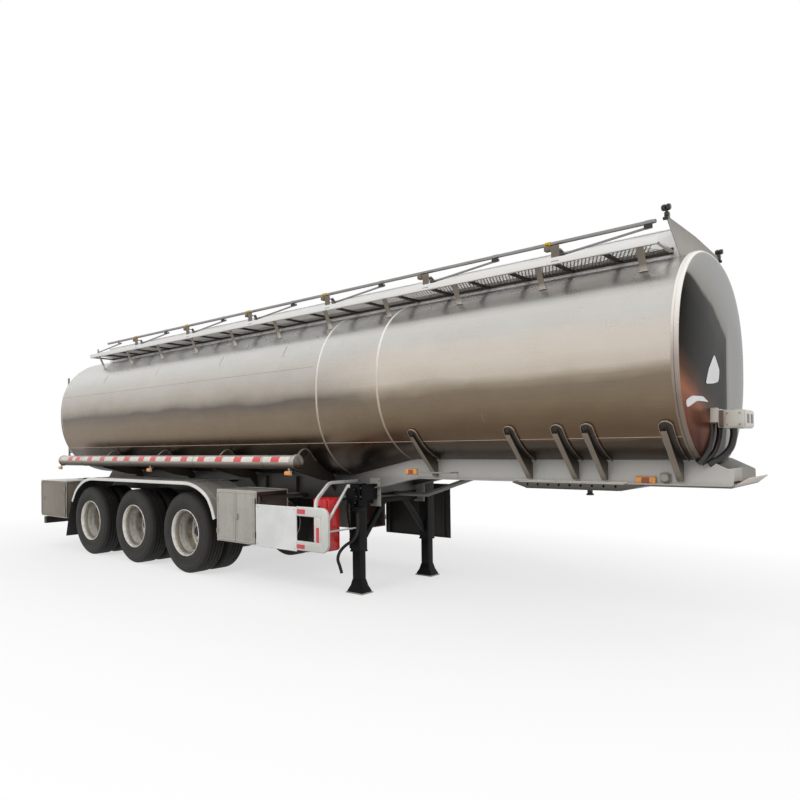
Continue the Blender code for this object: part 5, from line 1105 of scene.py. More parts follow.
def makeRightGuard(g):
    outer = -g["outer"]
    inner = outer + g["depth"]
    x0, x1, z0, z1 = g["frame"]
    sx0, sx1, sz0, sz1 = g["sign"]
    # Bent outer frame: one flat section carried round two corners
    width = 0.107
    path = rounded([(x0, 0, z1 - width / 2), (x1 - 0.06, 0, z1 - width / 2), (x1 - 0.06, 0, z0 + width / 2),
        (x0, 0, z0 + width / 2)], 0.055, 7) + (0, (outer + inner) / 2, 0)
    frameParts = [sweep(path, oblong(width, g["depth"], 0.010, 3), (0, 1, 0))]
    frameParts.append(slab((3.782, 3.885), (outer + 0.002, inner), (0.60, 0.92), 0.004))
    arms = [slab((sx0 + 0.02, sx0 + 0.06), (outer + 0.014, inner + 0.01), (sz0, 1.09), 0.004),
        slab((sx0 + 0.02, sx0 + 0.06), (outer + 0.02, -beamFace), (1.05, 1.09), 0.004)]
    strut = rounded([(3.79, outer + 0.022, 0.97), (3.785, -1.205, 1.087), (3.70, -0.90, 1.262),
        (3.70, -beamFace, 1.262)], 0.06, 5)
    frameParts.append(sweep(strut, oblong(0.036, 0.030, 0.006), (1, 0, 0)))
    frameParts.append(beam((3.967, outer + 0.02, 0.853), (3.80, -0.70, 1.215), 0.030, 0.022, edge=0.006))
    frameParts.append(slab((3.79, 3.8437), (-0.71, -0.67), (1.195, 1.235), 0.004))
    frameParts.append(bar((3.965, outer + 0.02, 0.75), (3.965, -0.7403, 0.75), 0.010, 16))
    sign = [slab((sx0, x0 + 0.004), (outer, outer + g["sheet"]), (sz0, sz1), 0.003)]
    rim = border((sx0, sx1), (sz0, sz1), outer + 0.001, 0.01, 0.02)
    sign.append(sweep(rim, oblong(0.012, 0.004, 0.0015), (0, 1, 0), closed=True))
    spots = [(x, outer, z) for x in (sx0 + 0.03, sx1 - 0.03) for z in (sz0 + 0.03, sz1 - 0.03)]
    fixings = bolts(spots, (0, -1, 0), 0.005, 0.003)
    red = [slab(x, (outer - 0.002, outer + 0.004), z, 0.003)
        for x, z in (((3.515, 3.645), (0.925, 0.980)), ((3.505, 3.635), (0.535, 0.585)),
        ((3.815, 3.858), (0.625, 0.790)))]
    white = [slab(x, (outer - 0.0012, outer + 0.004), z, 0.003)
        for x, z in (((3.655, 3.755), (0.925, 0.980)), ((3.645, 3.745), (0.535, 0.585)),
        ((3.815, 3.858), (0.800, 0.885)))]
    putPiece("sideGuardRight", layered(frameParts, sign, red, white, fixings, arms),
        [guardPaint, signPaint, reflectorRed, reflectorWhite, boltSteel, stayPaint], stands=("side_guard_right",))


def makeLeftGuard(g):
    outer = g["outer"]
    x0, x1, z0, z1 = g["leftPanel"]
    parts = [slab((x0, x1), (outer - g["sheet"] + 0.004, outer - 0.002), (z0, z1), 0.004)]
    # Swages along the skirt, and a turned edge all round
    for z in np.linspace(z0 + 0.12, z1 - 0.12, 5):
        parts.append(slab((x0 + 0.06, x1 - 0.06), (outer - 0.006, outer), about(z, 0.02), 0.006, 2))
    rim = border((x0, x1), (z0, z1), outer - 0.007, 0.012, 0.03, 5)
    parts.append(sweep(rim, oblong(0.022, 0.014, 0.004), (0, 1, 0), closed=True))
    for x in (x0 + 0.05, x1 - 0.12):
        parts.append(slab((x, x + 0.04), (outer - g["depth"], outer - 0.008), (z0 + 0.01, z1 - 0.01), 0.004))
    for x in (x0 + 0.05, x1 - 0.30):
        parts.append(slab((x, x + 0.04), (beamFace, outer - 0.01), (1.05, 1.09), 0.004))
    spots = [(x, outer, z) for x in (x0 + 0.07, x1 - 0.10) for z in (z0 + 0.05, z1 - 0.05)]
    fixings = bolts(spots, (0, 1, 0), 0.006, 0.0)
    putPiece("sideGuardLeft", layered(parts, fixings), [panelPaint, boltSteel], stands=("side_guard_left",))


makeRightGuard(guard)
makeLeftGuard(guard)


# ---- extinguisher box
redBox = {"x": (3.64, 3.835), "z": (0.50, 1.10), "face": 1.12, "depth": 0.25}


def makeExtinguisherBox(b):
    # Moulded case with a door seam, pressed ribs, a lid lip and a black latch
    x, z = b["x"], b["z"]
    y0, y1 = -b["face"], -b["face"] + b["depth"]
    parts = [slab(x, (y0 + 0.055, y1), z, 0.030, 5), slab((x[0] + 0.004, x[1] - 0.004), (y0, y0 + 0.050),
        (z[0] + 0.004, z[1] - 0.004), 0.028, 5)]
    for k in (0.25, 0.5, 0.75):
        cx = x[0] + k * (x[1] - x[0])
        parts.append(slab(about(cx, 0.012), (y0 - 0.001, y0 + 0.01), (z[0] + 0.07, z[1] - 0.16), 0.006, 2))
    for k in (0.2, 0.8):
        cz = z[0] + k * (z[1] - z[0])
        parts.append(slab((x[1] - 0.004, x[1] + 0.002), (y0 + 0.02, y1 - 0.03), about(cz, 0.012), 0.003))
    dark = [slab((x[0] + 0.02, x[1] - 0.02), (y0 + 0.049, y0 + 0.057), (z[0] + 0.02, z[1] - 0.02), 0.004),
        slab((x[0] + 0.05, x[0] + 0.12), (y0 - 0.003, y0 + 0.01), (z[1] - 0.115, z[1] - 0.085), 0.004),
        slab((x[0] + 0.055, x[0] + 0.085), (y0 - 0.006, y0 + 0.01), (z[1] - 0.13, z[1] - 0.07), 0.003)]
    arm = [slab((x[0] + 0.06, x[0] + 0.10), (y1 - 0.01, -beamFace), (1.04, 1.07), 0.004)]
    putPiece("extinguisherBox", layered(parts, dark + arm), [extinguisherRed, blackPaint],
        stands=("extinguisher_box",))


makeExtinguisherBox(redBox)


# ---- landing gear
legs = {"x": 3.935, "y": 0.67, "half": 0.07, "innerHalf": 0.055, "tubeBottom": 0.47, "top": 1.24}


def makeLandingGear(g):
    x, top, low, half = g["x"], g["top"], g["tubeBottom"], g["half"]

    def footRing(across, w, h, z):
        return np.concatenate([oblong(2 * w, 2 * h, 0.012, 3), np.full((16, 1), z)], 1) + (x, across, 0)

    parts, grey, steel = [], [], []
    for _, side in sides:
        y, near = side * g["y"], side * beamFace
        parts += slabs((about(x, half), about(y, half), (low, top), 0.010, 3),
            (about(x, 0.073), about(y, 0.073), (low, low + 0.02), 0.004),
            (about(x, g["innerHalf"]), about(y, g["innerHalf"]), (0.06, 0.49), 0.008, 2))
        # Splayed foot: flared sides between rounded rectangles, on a sole plate
        rings = ((0.115, 0.090, 0.012), (0.112, 0.087, 0.030), (0.078, 0.072, 0.085), (0.060, 0.060, 0.150),
            (0.057, 0.057, 0.156))
        parts.append(patch(np.stack([footRing(y, *size) for size in rings]), wrapV=True, caps=True))
        for dx in (-1, 1):
            parts.append(bar((x + dx * 0.061, y - 0.03, 0.105), (x + dx * 0.072, y - 0.03, 0.105), 0.012, 16))
        grey += slabs((about(x, 0.125), about(y, 0.10), (0, 0.014), 0.004),
            ((x - 0.019, x + 0.138), (near, near + side * 0.012), (0.975, 1.305), 0.003))
        parts += slabs(*((about(rib, 0.006), (near + side * 0.01, side * 0.71), (1.06, 1.24), 0.003)
            for rib in about(x, 0.085)), (about(x, 0.09), (side * 0.58, side * 0.61), (1.06, 1.24), 0.003),
            (about(x, 0.014), (side * 0.16, side * 0.30), (0.995, 1.06), 0.004))
        parts.append(beam((x, side * 0.615, 0.585), (x, side * 0.20, 1.03), 0.058, 0.05, (1, 0, 0), 0.004))
        # The plate's bolts stand in one row by the leg, with a pair at its far top
        spots = [(x + 0.012, near + side * 0.012, 1.01 + 0.055 * k) for k in range(5)]
        spots += [(x + 0.115, near + side * 0.012, z) for z in (1.10, 1.27)]
        steel += bolts(spots, (0, side, 0), 0.010, 0.009)
        steel += bolts([(x + 0.071, y + dy, z) for dy in (-0.04, 0.04) for z in (1.10, 1.20)], (1, 0, 0), 0.010)
    parts.append(slab(about(x, 0.03), (-0.67, 0.67), (1.005, 1.06), 0.006))
    parts.append(bar((x, -0.60, 1.10), (x, 0.60, 1.10), 0.016, 16))
    # Gearbox: a teardrop case in two halves with a bolted cover and the crank's shaft
    drop = rounded([(x - 0.09, 1.13), (x - 0.06, 1.19), (x, 1.21), (x + 0.05, 1.17), (x + 0.06, 1.08),
        (x + 0.03, 1.01), (x - 0.02, 1.0), (x - 0.06, 1.05)], 0.03, 4, closed=True)
    middle = drop.mean(0)
    for share, depth, edge in ((1, (-0.80, -0.735), 0.006), (1.08, (-0.775, -0.765), 0.002),
            (0.72, (-0.806, -0.79), 0.004)):
        parts.append(sheet(middle + (drop - middle) * share, depth, "xz", edge))
    steel += bolts(atY(middle + (drop[::5] - middle) * 0.96, -0.776), (0, -1, 0), 0.006, 0.007)
    shaft = x - 0.01
    parts.append(bar((shaft, -0.85, 1.05), (shaft, -0.72, 1.05), 0.016, 20))
    boss = [(0, -0.828), (0.022, -0.828), (0.026, -0.822), (0.026, -0.806), (0, -0.806)]
    parts.append(turned(boss, (shaft, 0, 1.05), "y", 24))
    # Folded crank hanging on its hook
    crank = rounded([(shaft, -0.845, 1.05), (shaft, -0.848, 0.92), (x - 0.015, -0.80, 0.72), (x - 0.02, -0.79, 0.62)],
        0.05, 5)
    parts.append(sweep(crank, circle(0.011, 12), (0, 1, 0)))
    parts.append(bar((x - 0.02, -0.79, 0.64), (x - 0.02, -0.79, 0.52), 0.015, 14))
    parts.append(slab((x + 0.055, x + 0.15), (-0.85, -0.72), (0.9558, 0.995), 0.006))
    outlet = [(0, 0.958), (0.024, 0.958), (0.024, 0.940), (0.0185, 0.936), (0.0185, 0.925), (0, 0.925)]
    parts.append(turned(outlet, (4.050, -0.82, 0), steps=20))
    putPiece("landingGear", layered(parts, grey, steel), [legPaint, plateGrey, boltSteel], stands=("landing_gear",))


makeLandingGear(legs)
print("landing gear made")


# ---- coupler: plate kept from the CAD, with bolted side channels
coupler = {"rear": 5.80, "front": 7.05, "skirt": (5.87, 6.86), "y": 0.50, "boltCount": 9}


def makeCoupler(c):
    parts, steel = [], []
    x0, x1 = c["skirt"]
    for _, side in sides:
        y = side * (c["y"] - 0.004)
        outline = [(x0 - 0.03, 1.327), (x1 + 0.03, 1.327), (x1 - 0.05, 1.250), (x0 + 0.09, 1.250)]
        parts.append(sheet(np.array(outline), (y - side * 0.012, y - side * 0.004), "xz"))
        for a, b, low, high, depth in ((x0 - 0.05, x1 + 0.04, 1.322, 1.330, 0.04),
                (x0 + 0.07, x1 - 0.04, 1.250, 1.257, 0.03)):
            lip = [(a, low), (b, low), (b, high), (a, high)]
            parts.append(sheet(lip, (y - side * depth, y + side * 0.004), "xz", 0.002))
        spots = [(x, y - side * 0.004, 1.290) for x in np.linspace(x0 + 0.09, x1 - 0.06, c["boltCount"])]
        steel += bolts(spots, (0, side, 0), 0.014, 0.008)
    putPiece("couplerChannels", layered(parts, steel), [channelPaint, channelPaint])


makeCoupler(coupler)


# ---- top works: coaming, wing plate, walkways, handrail
topWorks = {"coamingY": 0.42, "coamingTop": 3.48, "rear": -2.15, "wing": 7.356, "wingY": 0.82, "wingTop": 3.47,
    "walkOuter": 0.85, "walkFront": 7.29, "floor": 3.285, "toeTop": 3.318, "toeLow": 3.260, "footY": 0.745,
    "bearerPitch": 0.443, "railY": 0.80, "railZ": 3.455, "pinY": 0.767, "pinZ": 3.425, "railRadius": 0.017,
    "railFront": 7.27, "railRear": -1.50, "stanchionFirst": 6.43, "stanchionPitch": 1.393, "stanchionRun": 0.78,
    "meshPitch": 0.034, "postFirst": 7.15, "postPitch": 0.886}


def makeCoaming(t):
    y, top, rear, wing = t["coamingY"], t["coamingTop"], t["rear"], t["wing"]
    parts, wingParts, black = [], [], []
    for _, side in sides:
        parts.append(slab((rear, wing), (side * (y - 0.002), side * (y + 0.002)), (tank["top"] - 0.06, top), 0.001))
        parts.append(sweep([(rear, side * y, top - 0.004), (wing, side * y, top - 0.004)],
            oblong(0.022, 0.012, 0.005)))
    for station in (rear + 0.002, 1.15, 4.6):
        parts.append(slab(about(station, 0.002), (-y, y), (tank["top"] - 0.05, top - 0.08), 0.001))
    tipY, tipZ = t["wingY"], t["wingTop"]
    peak = [(-tipY, tipZ), (0, tipZ + 0.02), (tipY, tipZ)]
    outline = [(-y - 0.01, tank["top"] - 0.10), (-tipY, tipZ - 0.03), *peak, (tipY, tipZ - 0.03),
        (y + 0.01, tank["top"] - 0.10)]
    outline = rounded(outline, 0.02, 3, closed=True)
    wingParts.append(sheet(outline, about(wing, 0.002), "yz", 0.0008))
    crest = rounded([(-tipY, tipZ - 0.02), *peak, (tipY, tipZ - 0.02)], 0.03, 4)
    crest3 = np.stack([np.full(len(crest), wing - 0.008), crest[:, 0], crest[:, 1] - 0.003], 1)
    wingParts.append(sweep(crest3, oblong(0.005, 0.022, 0.002), (1, 0, 0)))
    for _, side in sides:
        # Marker lamps: bracket, housing turned to front and rear, and a stalk off the wing's tip
        tip = np.array([wing, side * (tipY - 0.005), tipZ])
        black.append(slab(about(wing, 0.018), about(tip[1], 0.02), (tip[2] - 0.02, tip[2] + 0.03), 0.005))
        black.append(bar(tip + (0, side * 0.01, 0.02), tip + (0, side * 0.02, 0.055), 0.012, 14))
        for way in (-1, 1):
            black.append(turned([(0, way * 0.036), (0.019, way * 0.034), (0.026, way * 0.024), (0.026, way * 0.006),
                (0.018, 0), (0, 0)], tip + (0, side * 0.02, 0.062), "x", 24))
        black.append(bar(tip + (0, side * 0.015, -0.005), tip + (0.0, side * 0.052, -0.028), 0.009, 12))
        black.append(turned([(0, -0.022), (0.012, -0.020), (0.015, 0), (0.012, 0.020), (0, 0.022)],
            tip + (0, side * 0.036, -0.028), "x", 16))
    putPiece("topCoaming", layered(parts, wingParts, black), [coamingMetal, wingMetal, blackPaint],
        stands=("top_coaming",))


def makeWalkways(t):
    # Expanded mesh: two families of flat strands, each the other's mirror, cut to the deck's width
    inner, outer, floor = t["coamingY"] + 0.010, t["walkOuter"], t["floor"]
    rear, front = t["rear"] + 0.12, t["walkFront"]
    run = (outer - inner) * 0.45
    x = np.arange(rear + 0.02, front - 0.03 - run, t["meshPitch"])
    for word, side in sides:
        strands, boards, bearers, posts = [], [], [], []
        for lean in (0, 1):
            ends = [(run * share, side * y, floor + 0.003) for share, y in ((lean, inner), (1 - lean, outer - 0.004))]
            strands.append(copies(sweep(ends, oblong(0.010, 0.0025, 0.0006, 1)), np.stack([x, 0 * x, 0 * x], 1)))
        # Toe board as a low channel, its inner partner beside the coaming, and the closing bars
        channel = [(outer, t["toeTop"]), (outer - 0.012, t["toeTop"]), (outer - 0.012, t["toeTop"] - 0.003),
            (outer - 0.003, t["toeTop"] - 0.003), (outer - 0.003, t["toeLow"] + 0.003),
            (outer - 0.034, t["toeLow"] + 0.003), (outer - 0.034, t["toeLow"]), (outer, t["toeLow"])]
        boards.append(sheet(np.array(channel) * (side, 1), (rear, front), "yz", 0.0005))
        across = (side * inner, side * (outer - 0.003))
        boards.append(slab((front - 0.03, front), across, (floor - 0.012, floor + 0.009), 0.002))
        partner, strip = [(side * a, side * b) for a, b in ((inner - 0.004, inner + 0.002),
            (outer - 0.05, outer - 0.036))]
        bearers += slabs(((rear, front), partner, (3.262, t["toeTop"]), 0.001),
            ((rear, front), strip, (floor - 0.016, floor), 0.001))
        across = (side * inner, side * (outer - 0.03))
        bearers += slabs(*((about(station, 0.02), across, (floor - 0.022, floor - 0.002), 0.002)
            for station in np.arange(rear + 0.02, front - 0.04, t["bearerPitch"])))
        # Posts lean in from the toe board to a pad on the tank, each a folded angle
        for k in range(11):
            px = t["postFirst"] - k * t["postPitch"]
            foot = np.array((px, side * t["footY"], float(tankUnderZ(px, t["footY"], upper=True))))
            head = np.array((px, side * (outer - 0.005), 3.258))
            fold = (0.024, side * 0.014, 0)
            pad = [foot + (dx, side * 0.004, 0.002) for dx in (-0.036, 0.036)]
            posts += [beam(foot, head, 0.058, 0.005, (0, side, 0), 0.001),
                beam(foot - fold, head - fold, 0.005, 0.030, (0, side, 0), 0.001),
                beam(*pad, 0.022, 0.006, edge=0.002)]
        putPiece("walkway" + word.title(), layered(boards, strands, bearers, posts),
            [boardWhite, meshMetal, deckBrown, postMetal], stands=("walkway_" + word,))


def makeHandrail(t):
    y, z = -t["railY"], t["railZ"]
    bases = t["stanchionFirst"] - t["stanchionPitch"] * np.arange(7)
    parts = [bar((t["railRear"], y, z), (t["railFront"], y, z), t["railRadius"], 20)]
    for x in bases:
        joint = x + t["stanchionRun"]
        parts.append(slab(about(joint, 0.022), (y - 0.006, y + 0.004), (3.411, z), 0.004))
        parts.append(bar((joint, y, t["pinZ"]), (joint, -0.749, t["pinZ"]), 0.006))
        parts += bolts([(joint, y - 0.006, t["pinZ"])], (0, -1, 0), 0.009, 0.006)
        parts.append(turned([(0.0165, joint - 0.03), (0.0195, joint - 0.028), (0.0195, joint + 0.028),
            (0.0165, joint + 0.03)], (0, y, z), "x", 20, loop=True))
    putPiece("handrailTube", parts, railMetal, "handrail", ("handrail",))
    for number, x in enumerate(bases, 1):
        joint = x + t["stanchionRun"]
        a, b = np.array([x + 0.02, -t["pinY"], 3.352]), np.array([joint, -t["pinY"], t["pinZ"]])
        way = (b - a) / np.linalg.norm(b - a)
        tubePath = np.array([a + way * s for s in (-0.02, 0.02, 0.05)] + [b + way * s for s in (-0.05, -0.02, 0.02)])
        # Tube flattened at both pins: its width shrinks as its height grows
        w = np.array([0.0055, 0.0055, 0.0085, 0.0085, 0.0055, 0.0055])[:, None]
        h = np.array([0.014, 0.014, 0.0105, 0.0105, 0.014, 0.014])[:, None]
        a = np.linspace(0, 2 * np.pi, 16, endpoint=False)[None]
        up = np.array([-way[2], 0, way[0]])
        ring = (w * np.cos(a))[..., None] * np.array([0, 1, 0]) + (h * np.sin(a))[..., None] * up
        points = tubePath[:, None] + ring
        stalk = [patch(points, wrapV=True, caps=True)]
        # Lug from the lower end up to the pin that it folds on
        lug = [(x + dx, height) for dx, height in ((-0.016, 3.388), (-0.016, 3.416), (0.016, 3.416), (0.055, 3.366),
            (0.045, 3.338), (0.004, 3.338))]
        lug = rounded(lug, 0.01, 3, closed=True)
        stalk.append(sheet(lug, (-0.763, -0.758), "xz"))
        body = "stanchion_%d" % number
        putPiece("stanchionTube%d" % number, stalk, railMetal, body, (body,))
    # Foot brackets on the toe board, and the yellow clips that hold the folded tubes
    clips, feet, black = [], [], []
    for k, x in enumerate(bases):
        if x < t["railRear"]:
            continue
        if k != 1:
            grip = [(0.0178, x - 0.112), (0.024, x - 0.108), (0.024, x - 0.060), (0.0178, x - 0.056)]
            clips.append(turned(grip, (0, y, z), "x", 18, loop=True))
            clips.append(slab((x - 0.10, x - 0.07), (y - 0.034, y - 0.019), (z - 0.010, z + 0.012), 0.004))
        low, high = t["toeTop"] - 0.03, z - 0.030
        plate = [(x - 0.038, low), (x - 0.038, high), (x + 0.038, high), (x + 0.038, low)]
        plate = rounded(plate, 0.010, 3, closed=True)
        feet.append(sheet(plate, (y - 0.044, y - 0.038), "xz"))
        feet += slabs((about(x, 0.036), (y - 0.052, y - 0.006), (t["toeTop"] - 0.036, t["toeTop"] - 0.030), 0.002),
            ((x - 0.105, x - 0.055), (y - 0.046, y + 0.010), (3.388, z - 0.024), 0.004),
            (about(x, 0.006), (y - 0.040, y + 0.046), (3.392, 3.404), 0.002))
        black.append(slab(about(x + t["stanchionRun"], 0.034), (y - 0.020, y - 0.008), (3.404, z - 0.016), 0.004))
    putPiece("railClips", layered(clips, feet, black), [knobYellow, postMetal, blackPaint])


makeCoaming(topWorks)
makeWalkways(topWorks)
makeHandrail(topWorks)
print("top works made")


# ---- lamps
lampSpots = {"underTube": (-2.40, 0.41, 3.34), "neck": ((4.65, 0.60), (7.04, 0.435))}


def lampParts(x, y, z, side, length=0.11, height=0.05):
    # Lens with a rounded face and two ribs over a darker base
    ribs = ((about(x + k * length, 0.012), (y + side * 0.019, y + side * 0.026), about(z, height * 0.36), 0.005, 2)
        for k in (-0.25, 0.25))
    lens = slabs((about(x, length / 2), (y, y + side * 0.022), about(z, height / 2), 0.009, 3), *ribs)
    base = slab(about(x, length / 2 + 0.004), (y - side * 0.010, y + side * 0.004), about(z, height / 2 + 0.004),
        0.004)
    return lens, [base]


def makeLamps(spots):
    amber, dark, middles = [], [], []
    for _, side in sides:
        for x in spots["underTube"]:
            lens, base = lampParts(x, side * 1.206, 1.375, side, 0.10, 0.045)
            amber += lens
            dark += base
            dark += slabs((about(x, 0.015), (side * 1.190, side * 1.197), (1.36, 1.47), 0.002),
                (about(x, 0.015), (side * 1.140, side * 1.197), (1.409, 1.4165), 0.002))
        for x, y in spots["neck"]:
            lens, base = lampParts(x, side * y, 1.392 if x < 5 else 1.350, side, 0.15 if x < 5 else 0.17, 0.062)
            amber += lens
            dark += base
            face = (side * (y + 0.024), side * (y + 0.029))
            z = lens[0]["co"][:, 2]
            middles.append(slab((x - 0.028, x + 0.034), face, (z.min() + 0.008, z.max() - 0.008), 0.003))
        dark.append(bar((4.57, side * 0.588, 1.385), (5.14, side * 0.588, 1.385), 0.008))
        dark.append(bar((5.12, side * 0.588, 1.385), (5.12, side * 0.42, 1.385), 0.008))
        # Round coupling on four bolts beside the second neck lamp
        cap = ((0, 0.050), (0.030, 0.048), (0.040, 0.036), (0.040, 0.010), (0.050, 0.006), (0.050, 0), (0, 0))
        dark.append(facing(cap, side, (7.20, side * 0.425, 1.375), 28))
        corners = [(7.20 + dx, side * 0.432, 1.375 + dz) for dz in (0.03, -0.03) for dx in (-0.04, 0.04)]
        dark += bolts(corners, (0, side, 0), 0.006, 0.006)
    putPiece("sideLamps", layered(amber, dark, middles), [amberLens, plateGrey, amberDark])
    # Rear lamp clusters on the lamp board and the bumper's reflectors
    red, amberRear, white, black = [], [], [], []
    for _, side in sides:
        for k, group in enumerate((red, red, amberRear)):
            y = side * (0.36 + 0.115 * k)
            group.append(slab((-3.098, -3.078), about(y, 0.052), (1.045, 1.135), 0.012, 3))
        black.append(slab((-3.084, -3.076), (side * 0.295, side * 0.655), (1.035, 1.145), 0.003))
        for k in range(6):
            group = red if k % 2 == 0 else white
            y = side * (0.14 + 0.19 * k)
            group.append(slab((-3.1214, -3.118), about(y, 0.09), (0.415, 0.465), 0.001))
    for p in red + white:
        p["co"] = np.maximum(p["co"], (-3.1199, -9, -9))
    putPiece("rearLamps", layered(red, amberRear, white, black), [redLens, amberLens, reflectorWhite, blackPaint])


makeLamps(lampSpots)


# ---- connector box on the front head, its conduits, and scraps of film left on the head
film = (((-0.29, 2.40), (-0.13, 2.28), (-0.17, 2.18), (-0.33, 2.155), (-0.55, 2.14), (-0.46, 2.27)),
    ((-0.96, 1.995), (-0.86, 2.03), (-0.62, 2.035), (-0.47, 1.995), (-0.66, 2.0), (-0.84, 1.985), (-0.93, 1.93)))


def makeConnectorBox():
    # Bracket on the head, junction block, and the box with its two sockets to the front
    stand = slabs(((7.455, 7.475), (-0.44, -0.15), (1.815, 1.965), 0.004),
        ((7.47, 7.60), (-0.41, -0.39), (1.83, 1.95), 0.004), ((7.785, 7.7995), (-0.40, -0.10), (1.79, 1.92), 0.005,
        2))
    block = slabs(((7.47, 7.61), (-0.385, -0.19), (1.82, 1.935), 0.008, 2),
        ((7.60, 7.645), (-0.40, -0.16), (1.80, 1.93), 0.006))
    face = slabs(((7.64, 7.79), (-0.42, -0.08), (1.78, 1.93), 0.010, 3),
        ((7.655, 7.775), (-0.427, -0.415), (1.795, 1.915), 0.004, 2),
        ((7.60, 7.606), (-0.404, -0.156), (1.79, 1.94), 0.002))
    sockets = slabs(*(((7.797, 7.8), y, (1.82, 1.895), 0.001) for y in ((-0.36, -0.27), (-0.22, -0.13))))
    # Conduits: smooth curves from the block and the box down to the nose of the frame
    conduits = ((0.026, (7.54, -0.35, 1.83), (7.54, -0.36, 1.74), (7.53, -0.42, 1.62), (7.50, -0.48, 1.54),
        (7.47, -0.50, 1.50)), (0.024, (7.58, -0.26, 1.83), (7.58, -0.27, 1.72), (7.56, -0.33, 1.60),
        (7.52, -0.40, 1.53), (7.48, -0.43, 1.50)), (0.028, (7.69, -0.30, 1.79), (7.69, -0.30, 1.72),
        (7.67, -0.33, 1.62), (7.61, -0.38, 1.54), (7.53, -0.43, 1.49)))
    for radius, *points in conduits:
        sockets.append(sweep(smoothPath(points, 30), circle(radius, 18), (0, 1, 0)))
    steel = bolts([(7.70, y, 1.93) for y in (-0.38, -0.25, -0.12)], (0, 0, 1), 0.008, 0.006)
    steel += bolts([(x, -0.427, z) for x in (7.67, 7.76) for z in (1.81, 1.90)], (0, -1, 0), 0.006, 0.005)
    putPiece("connectorBox", layered(stand, block, face, sockets, steel),
        [postMetal, deckBrown, boxTrim, blackPaint, boltSteel], stands=("connector_box",))
    # Scraps of torn film: an outline filled towards its middle, laid on the dish x = rim + depth sin^0.9
    scraps = []
    for outline in film:
        outline = rounded(outline, 0.03, 2, closed=True)
        share = np.linspace(1, 0.02, 6)[:, None, None]
        flat = outline.mean(0) + (outline - outline.mean(0)) * share
        middle = (tank["top"] + tank["frontBottom"]) / 2
        radius = ((np.abs(flat[..., 0]) / tank["halfWidth"]) ** tank["power"] + (np.abs(flat[...,
            1] - middle) / (tank["top"] - middle)) ** tank["power"]) ** (1 / tank["power"])
        dish = tank["frontDish"] * np.sin(np.arccos(np.clip(radius, 0, 1) ** (1 / 0.7))) ** 0.9
        x = tank["front"] + tank["ringLength"] + 0.006 + dish
        face, back = (np.concatenate([(x + out)[..., None], flat], -1) for out in (0.001, -0.001))
        scraps.append(patch(np.concatenate([face[::-1], back]), wrapV=True, caps=True))
    putPiece("filmScraps", scraps, filmWhite)


makeConnectorBox()


# ---- rear ladder
ladder = {"x": -3.02, "rails": (-0.42, -0.76), "foot": 1.50, "top": 3.0, "arms": (1.75, 2.85), "rungs": 5,
    "rise": 0.14, "pitch": 0.29}


def makeLadder(l):
    x, parts = l["x"], []
    for y in l["rails"]:
        parts.append(bar((x, y, l["foot"]), (x, y, l["top"]), 0.018, 16, 0.5))
        parts.append(turned([(0, 0.012), (0.036, 0.012), (0.040, 0.008), (0.040, 0), (0, 0)], (x, y, l["foot"]),
            steps=20))
        for z in l["arms"]:
            reach = float(tank["rear"]) - 0.02
            parts.append(bar((x, y, z), (reach - 0.26 * (1 - abs(z - 2.28)), y, z), 0.014, 12))
    for k in range(l["rungs"]):
        z = l["foot"] + l["rise"] + k * l["pitch"]
        parts.append(bar((x, l["rails"][0], z), (x, l["rails"][1], z), 0.013, 12))
        parts.append(slab((x - 0.012, x + 0.022), (l["rails"][1] + 0.03, l["rails"][0] - 0.03),
            (z + 0.008, z + 0.016), 0.003))
    putPiece("rearLadder", parts, railMetal, stands=("rear_ladder",))


makeLadder(ladder)


# ---- finishes for the CAD nodes that stay in view
keptFinishes = {"crossmembers": framePaint, "rear_bumper": framePaint, "coupler_plate": couplerSteel}
keptFinishes.update({"axle_%d" % number: axlePaint for number in (1, 2, 3)})
for word, _ in sides:
    keptFinishes.update({"mudflap_" + word: rubberBlack, "front_toolbox_" + word: boxPaint,
        "rear_toolbox_" + word: boxRear})
for name, material in keptFinishes.items():
    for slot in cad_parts[name].material_slots:
        slot.material = material
shown = [n for n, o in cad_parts.items() if not o.hide_render]
print("CAD nodes shown:", sorted(shown))
print("without a finish:", sorted(set(shown) - set(keptFinishes)))


# ---- floor, light
light = {"worldStrength": 0.62, "floorWhite": 0.93, "keyPower": 900.0, "fillPower": 350.0}


def cameraShare(tree):
    # One for rays that come from the camera, a mirror or glass
    path = node(tree, "LightPath")
    seen = maths(tree, "MAXIMUM", path.outputs["Is Camera Ray"], path.outputs["Is Glossy Ray"])
    return maths(tree, "MAXIMUM", seen, path.outputs["Is Transmission Ray"])


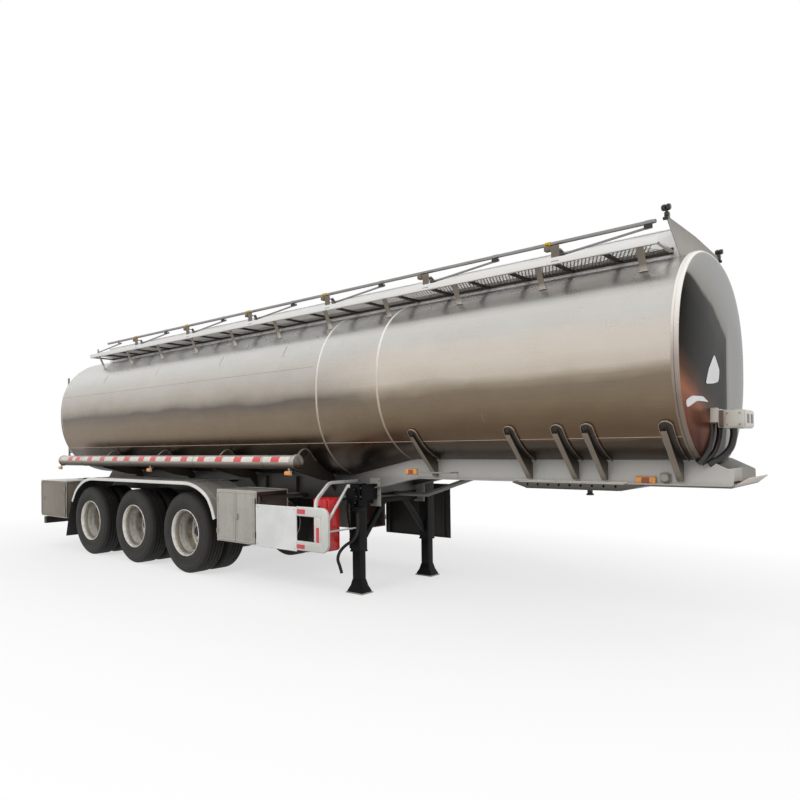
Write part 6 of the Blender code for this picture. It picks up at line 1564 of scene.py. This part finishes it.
def makeStage(l):
    # World: white to camera, mirror and glass rays, softer and greyer to diffuse ones
    world = bpy.data.worlds.new("studio")
    bpy.context.scene.world = world
    world.use_nodes = True
    tree = world.node_tree
    seen = cameraShare(tree)
    soft = node(tree, "Background", {"Color": (1, 1, 1, 1), "Strength": l["worldStrength"]})
    white = node(tree, "Background", {"Color": (1, 1, 1, 1), "Strength": 1.0})
    mixed = node(tree, "MixShader", {0: seen, 1: soft.outputs[0], 2: white.outputs[0]})
    tree.links.new(mixed.outputs[0], tree.nodes["World Output"].inputs["Surface"])
    # Floor: pale sheet that fades to the background's white away from the trailer and keeps its shadow
    spread = np.linspace(-150, 150, 3)
    floor = patch(np.stack([*np.meshgrid(spread, spread, indexing="ij"), np.zeros((3, 3))], -1))
    mesh = bpy.data.meshes.new("floor")
    mesh.from_pydata(floor["co"].tolist(), [], floor["corners"].reshape(-1, 4).tolist())
    sheetObject = bpy.data.objects.new("floor", mesh)
    bpy.context.scene.collection.objects.link(sheetObject)
    material = bpy.data.materials.new("studioFloor")
    material.use_nodes = True
    tree = material.node_tree
    tree.nodes.remove(tree.nodes["Principled BSDF"])
    seen = cameraShare(tree)
    place = node(tree, "TexCoord").outputs["Object"]
    oval = node(tree, "Mapping", {"Vector": place, "Scale": (0.16, 0.28, 1)}).outputs[0]
    away = node(tree, "VectorMath", {0: oval}, operation="LENGTH").outputs["Value"]
    fade = ranged(tree, away, 0.75, 1.7)
    shade = node(tree, "BsdfDiffuse", {"Color": (l["floorWhite"],) * 3 + (1,)})
    glow = node(tree, "Emission", {"Color": (1, 1, 1, 1), "Strength": 1.0})
    near = node(tree, "MixShader", {0: ranged(tree, fade, 0, 1, 0.62, 1.0), 1: shade.outputs[0], 2: glow.outputs[0]})
    dim = node(tree, "BsdfDiffuse", {"Color": (0.26, 0.25, 0.24, 1)})
    both = node(tree, "MixShader", {0: seen, 1: dim.outputs[0], 2: near.outputs[0]})
    tree.links.new(both.outputs[0], tree.nodes["Material Output"].inputs["Surface"])
    mesh.materials.append(material)
    # Broad soft key over the camera's shoulder and a weaker one from ahead
    for name, place, aim, size, power in (("key", (1.5, -13, 11), (0, 0, 1.6), 9, l["keyPower"]),
            ("fill", (14, -3, 7), (2, 0, 1.8), 6, l["fillPower"])):
        data = bpy.data.lights.new(name, "AREA")
        data.size, data.energy, data.shape = size, power, "DISK"
        lamp = bpy.data.objects.new(name, data)
        bpy.context.scene.collection.objects.link(lamp)
        lamp.location = place
        lamp.rotation_euler = (Vector(aim) - Vector(place)).to_track_quat("-Z", "Y").to_euler()
        lamp.visible_glossy = False
    bpy.context.scene.view_settings.view_transform = "Standard"


makeStage(light)
